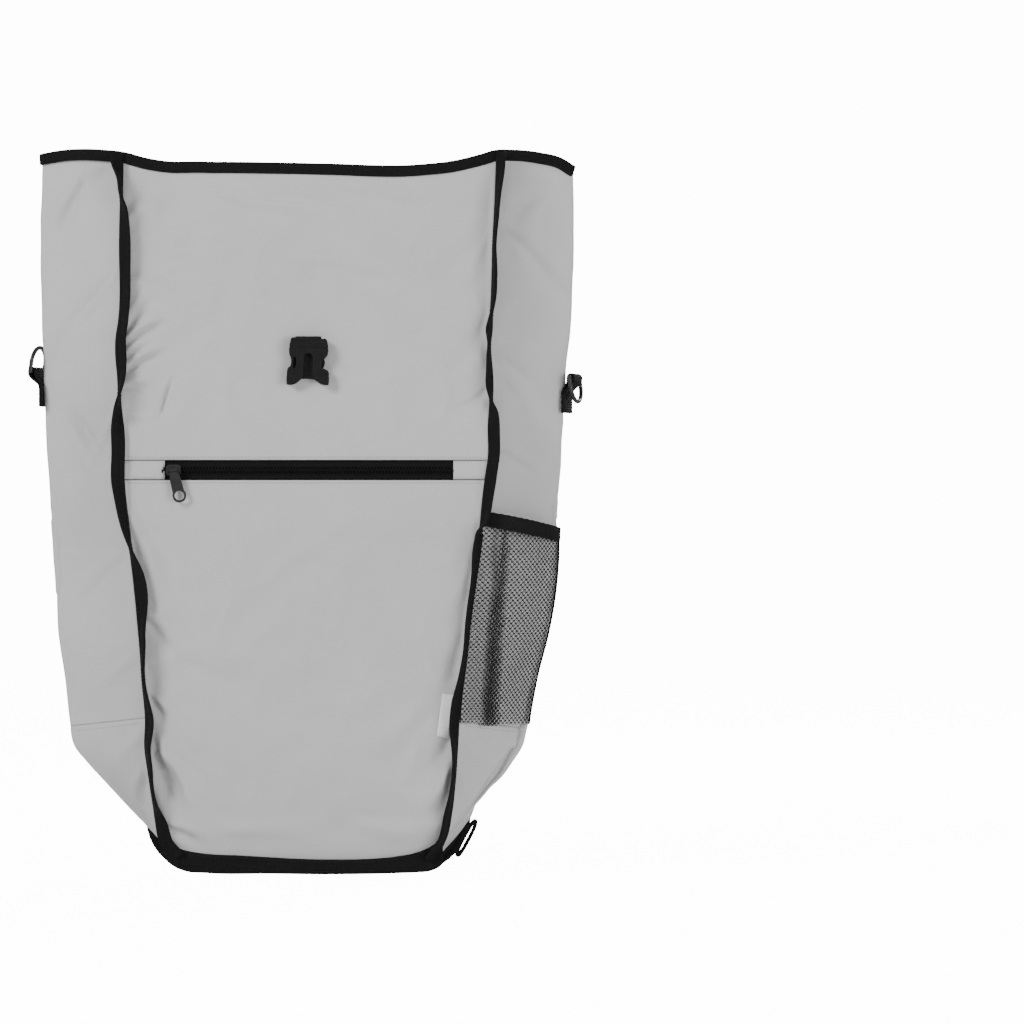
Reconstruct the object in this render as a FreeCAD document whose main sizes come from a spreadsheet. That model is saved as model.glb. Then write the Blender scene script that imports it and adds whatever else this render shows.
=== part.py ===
"""Roll-top bicycle pannier with stowed shoulder straps, as a parametric FreeCAD document.

Every height is first measured up from the bag's lowest point, and every depth from the plane of
the side creases; the front faces -Y. Each node is then moved so that the row's origin is on the
axis of the rack tube, midway between the two hooks.
"""
import FreeCAD, Part
import math
import os
from FreeCAD import Placement, Rotation, Vector

doc = FreeCAD.newDocument("pannier_bag")
sheet = doc.addObject("Spreadsheet::Sheet", "Dims")

# ---------------------------------------------------------------- driving dimensions, millimetres
DIMS = {
    "cloth": (1.5, "thickness of the coated bag cloth"),
    "seam_gap": (0.2, "clearance between two sewn pieces"),
    "webbing_w": (25.0, "width of every strap and loop"),
    "webbing_t": (1.6, "thickness of the webbing"),
    "panel_w": (306.0, "width of the stiff back panel"),
    "panel_h": (427.0, "height of the stiff back panel"),
    "panel_r": (56.0, "corner radius of the back panel"),
    "panel_y": (36.0, "front face of the back panel"),
    "panel_t": (4.0, "thickness of the back panel"),
    "tape_w": (7.0, "width of the tape bound round the back panel"),
    "board_t": (1.8, "thickness of the stiffener board"),
    "cover_w": (326.0, "width of the strap cover at its open top"),
    "cover_low_w": (292.0, "width of the strap cover at its foot"),
    "cover_r": (52.0, "corner radius of the strap cover's foot"),
    "cover_top": (397.0, "height of the strap cover's open edge"),
    "cover_base": (9.0, "height of the strap cover's lower edge"),
    "cover_y": (52.0, "outer face of the strap cover"),
    "patch_w": (232.0, "width of the patch pocket"),
    "patch_low": (90.0, "height of the patch pocket's lower edge"),
    "patch_top": (338.0, "height of the patch pocket's open edge"),
    "patch_gape": (6.5, "how far the patch pocket's open edge stands off"),
    "pad_w": (52.0, "width of a shoulder strap"),
    "pad_t": (6.0, "thickness of a shoulder strap"),
    "fold_z": (545.0, "height of the roll-top's first fold"),
    "fold_gap": (0.3, "clearance either side of the fold line"),
    "zip_z": (381.0, "height of the zip's centre line"),
    "zip_open": (20.0, "height of the zip's window"),
    "zip_half": (133.5, "half length of the zip's window"),
    "coil_w": (5.0, "width of the zip's chain"),
    "coil_t": (2.2, "thickness of the zip's chain"),
    "slider_x": (-123.0, "place of the zip slider, closed"),
    "pocket_room": (6.0, "depth of the zipped pocket behind the front panel"),
    "mesh_low": (142.0, "height of the mesh pocket's lower seam"),
    "mesh_top": (318.0, "height where the mesh meets its elastic"),
    "mesh_swell": (12.0, "how far the mesh stands off at its mouth"),
    "elastic_h": (13.0, "height of the mesh pocket's elastic"),
    "fin_w": (9.0, "width of a bound seam, standing proud"),
    "fin_t": (3.2, "thickness of a bound seam"),
    "hem_z": (663.0, "height of the mouth's cloth edge"),
    "hem_h": (6.0, "height of the tape over the mouth's edge"),
    "bar_z": (503.0, "height of the socket's webbing bar"),
    "bar_y": (-46.0, "depth of the socket's webbing bar"),
    "socket_w": (35.5, "width of the buckle socket"),
    "socket_t": (9.0, "thickness of the buckle socket"),
    "socket_h": (37.0, "length of the buckle socket below its bar"),
    "rail_w": (280.0, "length of the hook rail"),
    "rail_z": (368.0, "height of the hook rail's centre line"),
    "rail_h": (22.0, "height of the hook rail"),
    "rail_y": (52.3, "depth of the hook rail's mounting face"),
    "rail_t": (3.0, "thickness of the rail's flange and of its web"),
    "hook_x": (85.0, "place of each hook from the middle"),
    "hook_w": (30.0, "width of a hook"),
    "seat_r": (8.0, "radius of the hook's seat, for a 16 mm rack tube"),
    "wall": (4.0, "thickness of the hook's wall"),
    "tube_y": (70.6, "depth of the rack tube's axis"),
    "tube_z": (385.0, "height of the rack tube's axis"),
    "pin_y": (87.0, "depth of the latch pin"),
    "pin_z": (374.0, "height of the latch pin"),
    "pin_r": (2.0, "radius of the latch pin"),
    "ear_t": (3.5, "thickness of each ear that holds the latch pin"),
    "spring_w": (4.4, "room for the latch spring beside the latch"),
    "bolt_r": (2.5, "radius of the rail's bolts"),
    "pivot_z": (58.0, "height of the lower hook's pivot"),
    "pivot_r": (3.0, "radius of the lower hook's pivot screw"),
    "ring_r": (2.0, "radius of the D-ring's bar"),
    "ring_half": (14.5, "half of the D-ring's width, at its centre line"),
    "ring_leg": (8.0, "length of the D-ring's straight legs"),
    "loop_left_z": (474.0, "height of the left D-ring's hinge"),
    "loop_right_z": (468.0, "height of the right D-ring's hinge"),
    "ring_turn": (20.0, "how far the D-rings' hinges are turned from square, in degrees"),
    "loop_left_x": (-254.5, "place of the left D-ring's hinge"),
    "loop_right_x": (250.5, "place of the right D-ring's hinge"),
    "strap_low": (480.0, "height where the closure strap is sewn down"),
    "strap_top": (528.0, "height where the closure strap folds over"),
    "strap_end": (446.0, "height where the closure strap goes into its plug"),
    "strap_y": (50.0, "depth of the closure strap's free end"),
}

# The bag's outline at each level: height, half width of the front panel, of the side creases and
# of the rear, then the depth of the front and of the rear.
LEVELS = {
    "base": (14.0, 126.0, 127.0, 118.0, -34.0, 35.0),
    "corner": (46.0, 131.0, 150.0, 148.0, -36.0, 35.0),
    "seam": (140.0, 143.0, 214.0, 152.0, -40.0, 35.0),
    "waist": (316.0, 164.0, 239.0, 152.0, -42.0, 35.0),
    "zip": (381.0, 173.2, 242.0, 152.0, -42.0, 35.0),
    "shoulder": (427.0, 175.0, 244.0, 154.0, -40.0, 35.0),
    "fold": (545.0, 172.0, 249.5, 170.0, -34.0, 31.0),
    "mouth": (663.0, 178.0, 250.0, 178.0, -24.0, 22.0),
}
LEVEL_FIELDS = ("level", "front_w", "crease_w", "rear_w", "front_y", "rear_y")


def fill_sheet():
    """Writes every driving dimension to the sheet as text, with its alias and a note."""
    cells = list(DIMS.items())
    for name, values in LEVELS.items():
        for field, value in zip(LEVEL_FIELDS, values):
            cells.append((f"{name}_{field}", (value, f"{field} at the {name}")))
    for row, (alias, (value, note)) in enumerate(cells, start=1):
        sheet.set(f"A{row}", note)
        sheet.set(f"B{row}", str(value))
        sheet.setAlias(f"B{row}", alias)
    doc.recompute()


fill_sheet()
nodes = []


def dim(alias):
    """A driving dimension, read from the sheet."""
    return float(sheet.get(alias))


ORIGIN = Vector(0, -dim("tube_y"), -dim("tube_z"))


def node(obj, label):
    """Registers obj as the sub-part called label, and moves it into the row's frame."""
    obj.Label = label
    obj.Placement = Placement(ORIGIN, Rotation()).multiply(obj.Placement)
    nodes.append(obj)
    return obj


def shape_node(label, shape):
    """A sub-part whose shape is worked out here, from the sheet's sizes."""
    feature = doc.addObject("Part::Feature", label)
    feature.Shape = shape
    return node(feature, label)


# ---------------------------------------------------------------- small makers
def box(low, high):
    """A box between two corners."""
    return Part.makeBox(high[0] - low[0], high[1] - low[1], high[2] - low[2], Vector(*low))


def rod(radius, length, start, direction):
    """A cylinder of that length from start."""
    return Part.makeCylinder(radius, length, Vector(*start), Vector(*direction))


def loft(outlines):
    """A solid between closed outlines, each a list of points in one plane."""
    wires = [Part.makePolygon([Vector(*p) for p in pts] + [Vector(*pts[0])]) for pts in outlines]
    return Part.makeLoft(wires, True, True)


def prism(points, direction):
    """A solid from a closed outline of 3-D points, pushed along direction."""
    wire = Part.makePolygon([Vector(*p) for p in points] + [Vector(*points[0])])
    return Part.Face(wire).extrude(Vector(*direction))


def rounded_plate(half_w, low, high, radius, y, thick):
    """An upright plate with four round corners, centred on x = 0, that starts at depth y."""
    plate = box((-half_w, y, low), (half_w, y + thick, high))
    upright = [e for e in plate.Edges if abs(e.tangentAt(e.FirstParameter).y) > 0.9]
    return plate.makeFillet(radius, upright)


def part_object(kind, name, **values):
    """A Part primitive; text values are bound to the sheet, numbers are set."""
    obj = doc.addObject(kind, name)
    for key, value in values.items():
        if isinstance(value, str):
            obj.setExpression(key, value)
        else:
            setattr(obj, key, value)
    return obj


def line(a, b):
    return Part.LineSegment(Vector(*a, 0), Vector(*b, 0))


def arc(a, mid, b):
    return Part.Arc(Vector(*a, 0), Vector(*mid, 0), Vector(*b, 0))


def pad(name, role, geometry, length, offset=0.0, both=True):
    """A body with one sketch on an origin plane, padded by a length bound to the sheet."""
    body = doc.addObject("PartDesign::Body", name)
    profile = body.newObject("Sketcher::SketchObject", name + "_profile")
    plane = next(f for f in body.Origin.OriginFeatures if f.Role == role)
    profile.AttachmentSupport = [(plane, "")]
    profile.MapMode = "FlatFace"
    profile.AttachmentOffset = Placement(Vector(0, 0, offset), Rotation())
    for piece in geometry:
        profile.addGeometry(piece, False)
    doc.recompute()
    extrusion = body.newObject("PartDesign::Pad", name + "_pad")
    extrusion.Profile = profile
    extrusion.Midplane = both
    extrusion.setExpression("Length", length)
    body.Tip = extrusion
    return body


def polyline(points):
    """Closed straight sketch geometry through points."""
    return [line(a, b) for a, b in zip(points, points[1:] + points[:1])]


# ---------------------------------------------------------------- the bag's outline
def level(height):
    """Half widths and depths of the bag at a height, straight between the named levels."""
    rows = [[dim(f"{name}_{field}") for field in LEVEL_FIELDS] for name in LEVELS]
    if height <= rows[0][0]:
        return dict(zip(LEVEL_FIELDS, [height] + rows[0][1:]))
    for low, high in zip(rows, rows[1:]):
        if height <= high[0]:
            share = (height - low[0]) / (high[0] - low[0])
            return dict(zip(LEVEL_FIELDS, [a + (b - a) * share for a, b in zip(low, high)]))
    return dict(zip(LEVEL_FIELDS, [height] + rows[-1][1:]))


def heights(low, high):
    """low, high and every named level between them."""
    inner = [dim(f"{name}_level") for name in LEVELS]
    return [low] + [z for z in inner if low + 1 < z < high - 1] + [high]


def front_plate(low, high, left=None, right=None):
    """The front panel between two heights, or the part of it between left and right."""
    outlines = []
    for z in heights(low, high):
        at = level(z)
        x0 = -at["front_w"] if left is None else left
        x1 = at["front_w"] if right is None else right
        y0, y1 = at["front_y"], at["front_y"] + dim("cloth")
        outlines.append([(x0, y0, z), (x1, y0, z), (x1, y1, z), (x0, y1, z)])
    return loft(outlines)


def rear_plate(low, high):
    """The cloth rear wall between two heights."""
    outlines = []
    for z in heights(low, high):
        at = level(z)
        y0 = at["rear_y"] + dim("seam_gap")
        y1 = y0 + dim("cloth")
        outlines.append([(-at["rear_w"], y0, z), (at["rear_w"], y0, z),
                         (at["rear_w"], y1, z), (-at["rear_w"], y1, z)])
    return loft(outlines)


def side_wall(low, high, side):
    """A gusset between two heights: two leaves that meet at the side crease."""
    outlines = []
    for z in heights(low, high):
        at = level(z)
        gap, depth = dim("seam_gap"), 1.3 * dim("cloth")
        outer = [(at["front_w"] + gap, at["front_y"]), (at["crease_w"], 0.0),
                 (at["rear_w"] + gap, at["rear_y"])]
        inner = [(at["rear_w"] + gap, at["rear_y"] - depth), (at["crease_w"] - 2 * depth, 0.0),
                 (at["front_w"] + gap, at["front_y"] + depth)]
        outlines.append([(side * x, y, z) for x, y in outer + inner])
    return loft(outlines)


def bound_seam(low, high, side):
    """A bound seam that stands proud along the front corner."""
    lean = Vector(0.4, -0.92, 0)
    across = Vector(0.92, 0.4, 0)
    outlines = []
    for z in heights(low, high):
        at = level(z)
        foot = Vector(at["front_w"] + 0.1, at["front_y"] - 0.3, z)
        half = across * (dim("fin_t") / 2)
        tip = foot + lean * dim("fin_w")
        corners = [foot - half, foot + half, tip + half, tip - half]
        outlines.append([(side * p.x, p.y, p.z) for p in corners])
    return loft(outlines)


def build_shell():
    """The cloth walls below the fold, their bound seams and the floor."""
    zip_low = dim("zip_z") - dim("zip_open") / 2
    zip_high = dim("zip_z") + dim("zip_open") / 2
    gap, fold = dim("seam_gap"), dim("fold_z") - dim("fold_gap")
    seam = dim("seam_level")
    shape_node("front_panel_lower", front_plate(dim("base_level"), zip_low))
    shape_node("front_panel_upper", front_plate(zip_high, fold))
    end = dim("zip_half") + gap
    strip = (zip_low + gap, zip_high - gap)
    tabs = [front_plate(*strip, right=-end), front_plate(*strip, left=end)]
    shape_node("zip_end_tabs", Part.makeCompound(tabs))
    for name, side in (("left", -1), ("right", 1)):
        shape_node(f"gusset_{name}", side_wall(seam + gap, fold, side))
        shape_node(f"seam_binding_{name}", bound_seam(dim("base_level") + 4, fold, side))
    base = level(dim("base_level"))
    y0, y1, z = base["front_y"] + 1.8, base["rear_y"] - 2.2, base["level"]
    half = [(base["front_w"], y0, z), (base["crease_w"], 0, z), (base["rear_w"], y1, z)]
    floor = prism(half + [(-x, y, z) for x, y, z in reversed(half)], (0, 0, dim("cloth")))
    walls = [side_wall(base["level"], seam, side) for side in (-1, 1)]
    shape_node("bottom_gusset", floor.fuse(walls).removeSplitter())
    shape_node("seam_binding_bottom",
               box((-base["front_w"] + 2, base["front_y"] - 3.8, 0),
                   (base["front_w"] - 2, base["front_y"] - 0.4, 17)))
    rear_low = dim("panel_h") + 2 * gap
    shape_node("rear_upper_panel", rear_plate(rear_low, fold))


def build_roll_top():
    """The walls above the fold, the tape over the mouth and the strip that keeps it straight."""
    low, high = dim("fold_z") + dim("fold_gap"), dim("hem_z")
    shape_node("roll_top_front", front_plate(low, high))
    shape_node("roll_top_rear", rear_plate(low, high))
    for name, side in (("left", -1), ("right", 1)):
        shape_node(f"roll_top_gusset_{name}", side_wall(low, high, side))
    bindings = [bound_seam(low, high, side) for side in (-1, 1)]
    shape_node("roll_top_bindings", Part.makeCompound(bindings))
    at = level(high)

    def ring(grow):
        """The mouth's outline, grown outwards by that much."""
        half = [(at["front_w"] + grow, at["front_y"] - grow, high + 0.2),
                (at["crease_w"] + grow, 0, high + 0.2),
                (at["rear_w"] + grow, at["rear_y"] + 2 + grow, high + 0.2)]
        return half + [(-x, y, z) for x, y, z in reversed(half)]

    rise = (0, 0, dim("hem_h"))
    shape_node("mouth_binding", prism(ring(1.2), rise).cut(prism(ring(-2.8), rise)))
    low_z, high_z = high - 26, high - 2
    low_y, high_y = level(low_z)["rear_y"], level(high_z)["rear_y"]
    half = dim("mouth_rear_w") - 14
    stay = loft([[(-half, y - 1.1, z), (half, y - 1.1, z), (half, y - 0.1, z), (-half, y - 0.1, z)]
                 for y, z in ((low_y, low_z), (high_y, high_z))])
    shape_node("mouth_stiffener", stay)


def build_back():
    """The stiff back panel, its tape, the board inside, and the cover that hides the straps."""
    half, tape, y = dim("panel_w") / 2, dim("tape_w"), dim("panel_y")
    outer = rounded_plate(half, 0, dim("panel_h"), dim("panel_r"), y - 0.8, dim("panel_t") + 1.6)
    inner = rounded_plate(half - tape, tape, dim("panel_h") - tape, dim("panel_r") - tape,
                          y - 1, dim("panel_t") + 2)
    shape_node("back_panel_binding", outer.cut(inner))
    inset = tape + 0.1
    panel = rounded_plate(half - inset, inset, dim("panel_h") - inset, dim("panel_r") - inset,
                          y, dim("panel_t"))
    holes = [rod(dim("bolt_r") + 0.1, 40, (x, 20, z), (0, 1, 0)) for x, z in bolt_places()]
    shape_node("back_panel", panel.cut(holes))
    board = rounded_plate(half - 13, 18, dim("panel_h") - 12, 60,
                          y - 1 - dim("board_t"), dim("board_t"))
    shape_node("stiffener_board", board.cut(holes))
    build_cover(holes)
    build_shoulder_straps()


def bolt_places():
    """Where the rail's four bolts and the lower hook's two bolts go through, as (x, z)."""
    rail = [(x, dim("rail_z")) for x in (-128.0, -32.0, 32.0, 128.0)]
    return rail + [(x, dim("pivot_z")) for x in (-12.0, 12.0)]


def build_cover(holes):
    """The open-topped cloth pouch over the shoulder straps, and the patch pocket on it."""
    cloth, face, back = dim("cloth"), dim("cover_y"), dim("panel_y") + dim("panel_t") + 1.2
    outer = cover_plate(0, back, face - back)
    inner = cover_plate(cloth, back - 1, face - back - cloth + 1)
    shape_node("strap_cover", outer.cut(inner).cut(holes))
    shape_node("cover_pocket", patch_pocket(face + 0.2))


def cover_plate(inset, y, thick):
    """The cover's outline, wider at its open top than at its rounded foot, less an inset."""
    top, low = dim("cover_top") + inset, dim("cover_base") + inset
    half_top, half_low = dim("cover_w") / 2 - inset, dim("cover_low_w") / 2 - inset
    plate = prism([(-half_low, y, low), (half_low, y, low), (half_top, y, top), (-half_top, y, top)],
                  (0, thick, 0))
    feet = [e for e in plate.Edges
            if abs(e.tangentAt(e.FirstParameter).y) > 0.9 and e.CenterOfMass.z < low + 1]
    return plate.makeFillet(dim("cover_r") - inset, feet)


def patch_pocket(face):
    """A pocket sewn down on three sides, whose open top edge gapes away from the cover."""
    half, flat, thin = dim("patch_w") / 2, 30.0, 1.1
    outlines = []
    for z, gape in ((dim("patch_low"), 0.0), (dim("patch_top"), dim("patch_gape"))):
        inner = [(-half, face, z), (-half + flat, face + gape, z), (half - flat, face + gape, z),
                 (half, face, z)]
        outer = [(x, y + thin, z) for x, y, _ in reversed(inner)]
        outlines.append(inner + outer)
    return loft(outlines)


def build_shoulder_straps():
    """Two padded straps that spread from the panel's top centre, lying flat inside the cover."""
    width, thick = dim("pad_w"), dim("pad_t")
    y = dim("panel_y") + dim("panel_t") + 1.2
    for name, side in (("left", -1), ("right", 1)):
        run = [(1.0, 417.0, 40.0), (18.0, 397.0, 42.0), (38.0, 372.0, 46.0), (44.0, 340.0, width),
               (44.0, 130.0, width), (50.0, 100.0, 30.0)]
        inner = [(side * x, y, z) for x, z, w in run]
        outer = [(side * (x + w), y, z) for x, z, w in reversed(run)]
        strap = prism(inner + outer, (0, thick, 0))
        shape_node(f"shoulder_strap_{name}", strap)


# ---------------------------------------------------------------- zip, mesh pocket, label
def build_zip():
    """The zip's tape, chain, slider and pull."""
    z, half = dim("zip_z"), dim("zip_half")
    face = dim("zip_front_y")
    tape = part_object("Part::Box", "zip_tape_box", Length="2 * Dims.zip_half + 12",
                       Width=0.8, Height="Dims.zip_open + 8")
    tape.Placement.Base = Vector(-half - 6, face + 2.2, z - dim("zip_open") / 2 - 4)
    node(tape, "zip_tape")
    chain = part_object("Part::Box", "zip_chain_box", Length="2 * Dims.zip_half - 0.4",
                        Width="Dims.coil_t", Height="Dims.coil_w")
    chain.Placement.Base = Vector(-half + 0.2, face + 2.1 - dim("coil_t"), z - dim("coil_w") / 2)
    node(chain, "zip_chain")
    x = dim("slider_x")
    body = box((x - 7, face - 3.6, z - 5), (x + 7, face + 1.4, z + 5))
    groove = box((x - 8, face - 0.8, z - 2.8), (x + 8, face + 2, z + 2.8))
    upright = [e for e in body.Edges if abs(e.tangentAt(e.FirstParameter).y) > 0.9]
    body = body.makeFillet(3, upright).cut(groove)
    posts = [box((x + a, face - 7, z - 1.2), (x + a + 2, face - 3.5, z + 1.2)) for a in (-6, 4)]
    bar = rod(0.9, 12, (x - 6, face - 6.4, z), (1, 0, 0))
    shape_node("zip_slider", body.fuse(posts + [bar]).removeSplitter())
    shape_node("zip_pull", zip_pull(x, face - 6.4, z))
    shape_node("front_pocket_lining", pocket_lining())


def pocket_lining():
    """The back wall of the zipped pocket, a hand's room behind the front panel."""
    inset, deep, thin = 4.0, dim("pocket_room") + dim("cloth"), 0.8
    outlines = []
    for z in (20.0, 140.0, 316.0, 396.0):
        at = level(z)
        half, y = at["front_w"] - inset, at["front_y"] + deep
        outlines.append([(-half, y, z), (half, y, z), (half, y + thin, z), (-half, y + thin, z)])
    return loft(outlines)


def zip_pull(x, y, z):
    """A flat pull with a round eye, hung on the slider's bar and swung a little to one side."""
    knuckle = rod(2.2, 7, (x - 3.5, y, z), (1, 0, 0))
    tongue = loft([[(-a, -0.8, h), (a, -0.8, h), (a, 0.8, h), (-a, 0.8, h)]
                   for a, h in ((3.2, -1.0), (5.0, -8.0), (5.4, -22.0))])
    eye = rod(6.4, 1.6, (0, -0.8, -24.5), (0, 1, 0))
    hole = rod(4.4, 3, (0, -1.5, -24.5), (0, 1, 0))
    leaf = tongue.fuse(eye).cut(hole)
    leaf.rotate(Vector(0, 0, 0), Vector(0, 1, 0), -14)
    leaf.translate(Vector(x, y, z))
    return knuckle.fuse(leaf).cut(rod(0.98, 9, (x - 4.5, y, z), (1, 0, 0))).removeSplitter()


def leaf_line(z, swell):
    """The mesh pocket's line at a height, from the front corner to the side crease."""
    at = level(z)
    start = Vector(at["front_w"] + 3.6, at["front_y"] + 0.6, z)
    end = Vector(at["crease_w"] + 1.6, -0.6, z)
    run = (end - start).normalize()
    out = Vector(run.y, -run.x, 0)
    return [start, start + (end - start) * 0.3 + out * swell * 0.85,
            start + (end - start) * 0.75 + out * swell, end]


def strip_outline(points, thick):
    """A closed outline that stands thick towards -Y of a line of points."""
    back = [p + Vector(0.35 * thick, -0.95 * thick, 0) for p in reversed(points)]
    return [tuple(p) for p in list(points) + back]


def build_mesh_pocket():
    """The mesh pocket on the right gusset, closed below, open above, with an elastic top."""
    low, top, swell = dim("mesh_low"), dim("mesh_top"), dim("mesh_swell")
    stages = [(low, 0.6), (low + 40, 0.7 * swell), (top - 60, 0.95 * swell), (top, swell)]
    mesh = loft([strip_outline(leaf_line(z, s), 0.8) for z, s in stages])
    shape_node("mesh_pocket", mesh)
    high = top + dim("elastic_h")
    elastic = loft([strip_outline(leaf_line(z, swell), 2.0) for z in (top + 0.2, high)])
    shape_node("mesh_pocket_elastic", elastic)
    at = level(149.0)
    shape_node("side_label", box((at["front_w"] - 16, at["front_y"] - 1.2, 128.0),
                                 (at["front_w"] - 5, at["front_y"] - 0.6, 170.0)))


# ---------------------------------------------------------------- webbing and rings
def d_ring(direction):
    """A D-ring whose bar lies along Y through the origin and whose bow points along direction."""
    r, half, leg = dim("ring_r"), dim("ring_half"), dim("ring_leg")
    bar = rod(r, 2 * half, (0, -half, 0), (0, 1, 0))
    legs = [rod(r, leg, (0, y, 0), (0, 0, direction)) for y in (-half, half)]
    corners = [Part.makeSphere(r, Vector(0, y, 0)) for y in (-half, half)]
    bow = Part.makeTorus(half, r, Vector(0, 0, 0), Vector(1, 0, 0), 0, 360, 360)
    keep = box((-r - 1, -half - r - 1, 0), (r + 1, half + r + 1, half + r + 1))
    if direction < 0:
        keep = box((-r - 1, -half - r - 1, -half - r - 1), (r + 1, half + r + 1, 0))
    bow = bow.common(keep)
    bow.translate(Vector(0, 0, direction * leg))
    return bar.fuse(legs + corners + [bow]).removeSplitter()


def webbing_loop(x, z, side):
    """A folded webbing tab, sewn to the side crease below a sleeve for the D-ring's bar."""
    half = dim("webbing_w") / 2 - 0.4
    inner = dim("ring_r") + 0.5
    outer = inner + dim("webbing_t")
    sleeve = rod(outer, 2 * half, (0, -half, 0), (0, 1, 0))
    near, far = -side * outer, -side * (outer - 2 * dim("webbing_t"))
    tail = box((min(near, far), -half, -33), (max(near, far), half, 1))
    loop = sleeve.fuse(tail).cut(rod(inner, 2 * half + 2, (0, -half - 1, 0), (0, 1, 0)))
    loop.rotate(Vector(0, 0, 0), Vector(0, 0, 1), -dim("ring_turn"))
    loop.translate(Vector(x, 0, z))
    return loop.removeSplitter()


def build_rings():
    """The two side D-rings and their webbing loops. The left ring is flipped up, the right hangs."""
    left_x, left_z = dim("loop_left_x"), dim("loop_left_z")
    right_x, right_z = dim("loop_right_x"), dim("loop_right_z")
    shape_node("ring_loop_left", webbing_loop(left_x, left_z, -1))
    shape_node("ring_loop_right", webbing_loop(right_x, right_z, 1))
    ring = d_ring(1)
    ring.rotate(Vector(0, 0, 0), Vector(0, 1, 0), 8)
    ring.rotate(Vector(0, 0, 0), Vector(0, 0, 1), -dim("ring_turn"))
    ring.translate(Vector(left_x, 0, left_z))
    shape_node("d_ring_left", ring)
    ring = d_ring(-1)
    ring.rotate(Vector(0, 0, 0), Vector(0, 1, 0), -8)
    ring.rotate(Vector(0, 0, 0), Vector(0, 0, 1), -dim("ring_turn"))
    ring.translate(Vector(right_x, 0, right_z))
    shape_node("d_ring_right", ring)


def build_lower_loops():
    """A short webbing loop at each bottom corner; the left one is folded up, the right one hangs."""
    loops = []
    for x, z, lean in ((-156.5, 71.0, 90), (151.5, 36.2, -70)):
        outer = rounded_bar(34, 12, 18)
        inner = rounded_bar(34 - 2 * 1.8, 12 - 2 * 1.8, 20)
        loop = outer.cut(inner)
        loop.rotate(Vector(0, 0, 0), Vector(0, 1, 0), lean)
        loop.translate(Vector(x, 50.3, z))
        loops.append(loop)
    shape_node("lower_strap_loops", Part.makeCompound(loops))


def rounded_bar(length, height, depth):
    """A bar along X with round ends, centred on the origin."""
    bar = box((-length / 2, -depth / 2, -height / 2), (length / 2, depth / 2, height / 2))
    ends = [e for e in bar.Edges if abs(e.tangentAt(e.FirstParameter).y) > 0.9]
    return bar.makeFillet(height / 2 - 0.01, ends)


# ---------------------------------------------------------------- closure buckle and strap
def build_socket():
    """The socket half of the side-release buckle, and the webbing that holds it on the front."""
    z, y = dim("bar_z"), dim("bar_y")
    half, thick, length = dim("socket_w") / 2, dim("socket_t"), dim("socket_h")
    top = z - 5.5
    low = z - length
    lobe = 5.0
    mouth = -half - 1.5
    outline = [line((-half, top), (-half, z - 16)),
               arc((-half, z - 16), (-half + 3.6, z - 21), (-half, z - 26)),
               line((-half, z - 26), (mouth, low)),
               arc((mouth, low), (mouth + 4.0, low - lobe), (mouth + 9.0, low - lobe + 1)),
               arc((mouth + 9.0, low - lobe + 1), (0, low + 3.5), (-mouth - 9.0, low - lobe + 1)),
               arc((-mouth - 9.0, low - lobe + 1), (-mouth - 4.0, low - lobe), (-mouth, low)),
               line((-mouth, low), (half, z - 26)),
               arc((half, z - 26), (half - 3.6, z - 21), (half, z - 16)),
               line((half, z - 16), (half, top)),
               line((half, top), (-half, top))]
    shell = pad("socket_shell", "XZ_Plane", outline, "Dims.socket_t", offset=-y)
    doc.recompute()
    body = shell.Shape.copy()
    hollow = box((-half + 2.2, y - thick / 2 + 1.8, low - 12),
                 (half - 2.2, y + thick / 2 - 1.8, top - 5))
    slot = box((-4.6, y - thick, low - 12), (4.6, y, top - 12))
    slot_end = rod(4.6, thick, (0, y - thick, top - 12), (0, 1, 0))
    cheeks = [box((a, y - 3.2, top - 1), (a + 4.2, y + 3.2, z + 3.4)) for a in (-half, half - 4.2)]
    bar = rod(2.2, 2 * half - 2, (-half + 1, y, z), (1, 0, 0))
    shell.Visibility = False
    body = body.cut([hollow, slot, slot_end]).fuse(cheeks + [bar]).removeSplitter()
    shape_node("buckle_socket", body)
    wall = level(z)["front_y"]
    wide = dim("webbing_w") / 2 - 0.3
    sleeve = rod(4.4, 2 * wide, (-wide, y, z), (1, 0, 0))
    sleeve = sleeve.cut(rod(2.6, 2 * wide + 2, (-wide - 1, y, z), (1, 0, 0)))
    stem = box((-wide, y + 2.9, z - 2), (wide, y + 4.4, z + 2))
    back_y = wall - 2.4
    tail = loft([[(-wide, a, h), (wide, a, h), (wide, a + 1.6, h), (-wide, a + 1.6, h)]
                 for a, h in ((level(z - 34)["front_y"] - 1.9, z - 34), (back_y, z - 4))])
    bridge = box((-wide, y + 2.9, z + 1), (wide, back_y + 1.4, z + 2.6))
    drop = box((-wide, back_y, z - 6), (wide, back_y + 1.4, z + 2.6))
    shape_node("socket_webbing", sleeve.fuse([stem, bridge, drop, tail]).removeSplitter())


def build_closure_strap():
    """The strap that comes over the roll: sewn down on the rear, folded over, and hanging free."""
    wide, thick = dim("webbing_w") / 2, dim("webbing_t")
    low, fold, end = dim("strap_low"), dim("strap_top"), dim("strap_end")
    y_low, y_fold = level(low)["rear_y"] + 2.0, level(fold)["rear_y"] + 2.3
    shape_node("closure_strap", loft([strap_section(y_low, low, wide, thick),
                                      strap_section(y_fold, fold - 3.2, wide, thick)]))
    hang_y = dim("strap_y")
    free = loft([strap_section(hang_y, end, wide, thick),
                 strap_section(y_fold + 2.6, fold - 3, wide, thick)])
    knuckle = rod(2.4, 2 * wide, (-wide, y_fold + 2.6 + thick / 2, fold), (1, 0, 0))
    shape_node("closure_strap_end", free.fuse(knuckle).removeSplitter())
    shape_node("buckle_plug", plug(end - 4.5, hang_y + 0.8))


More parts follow.
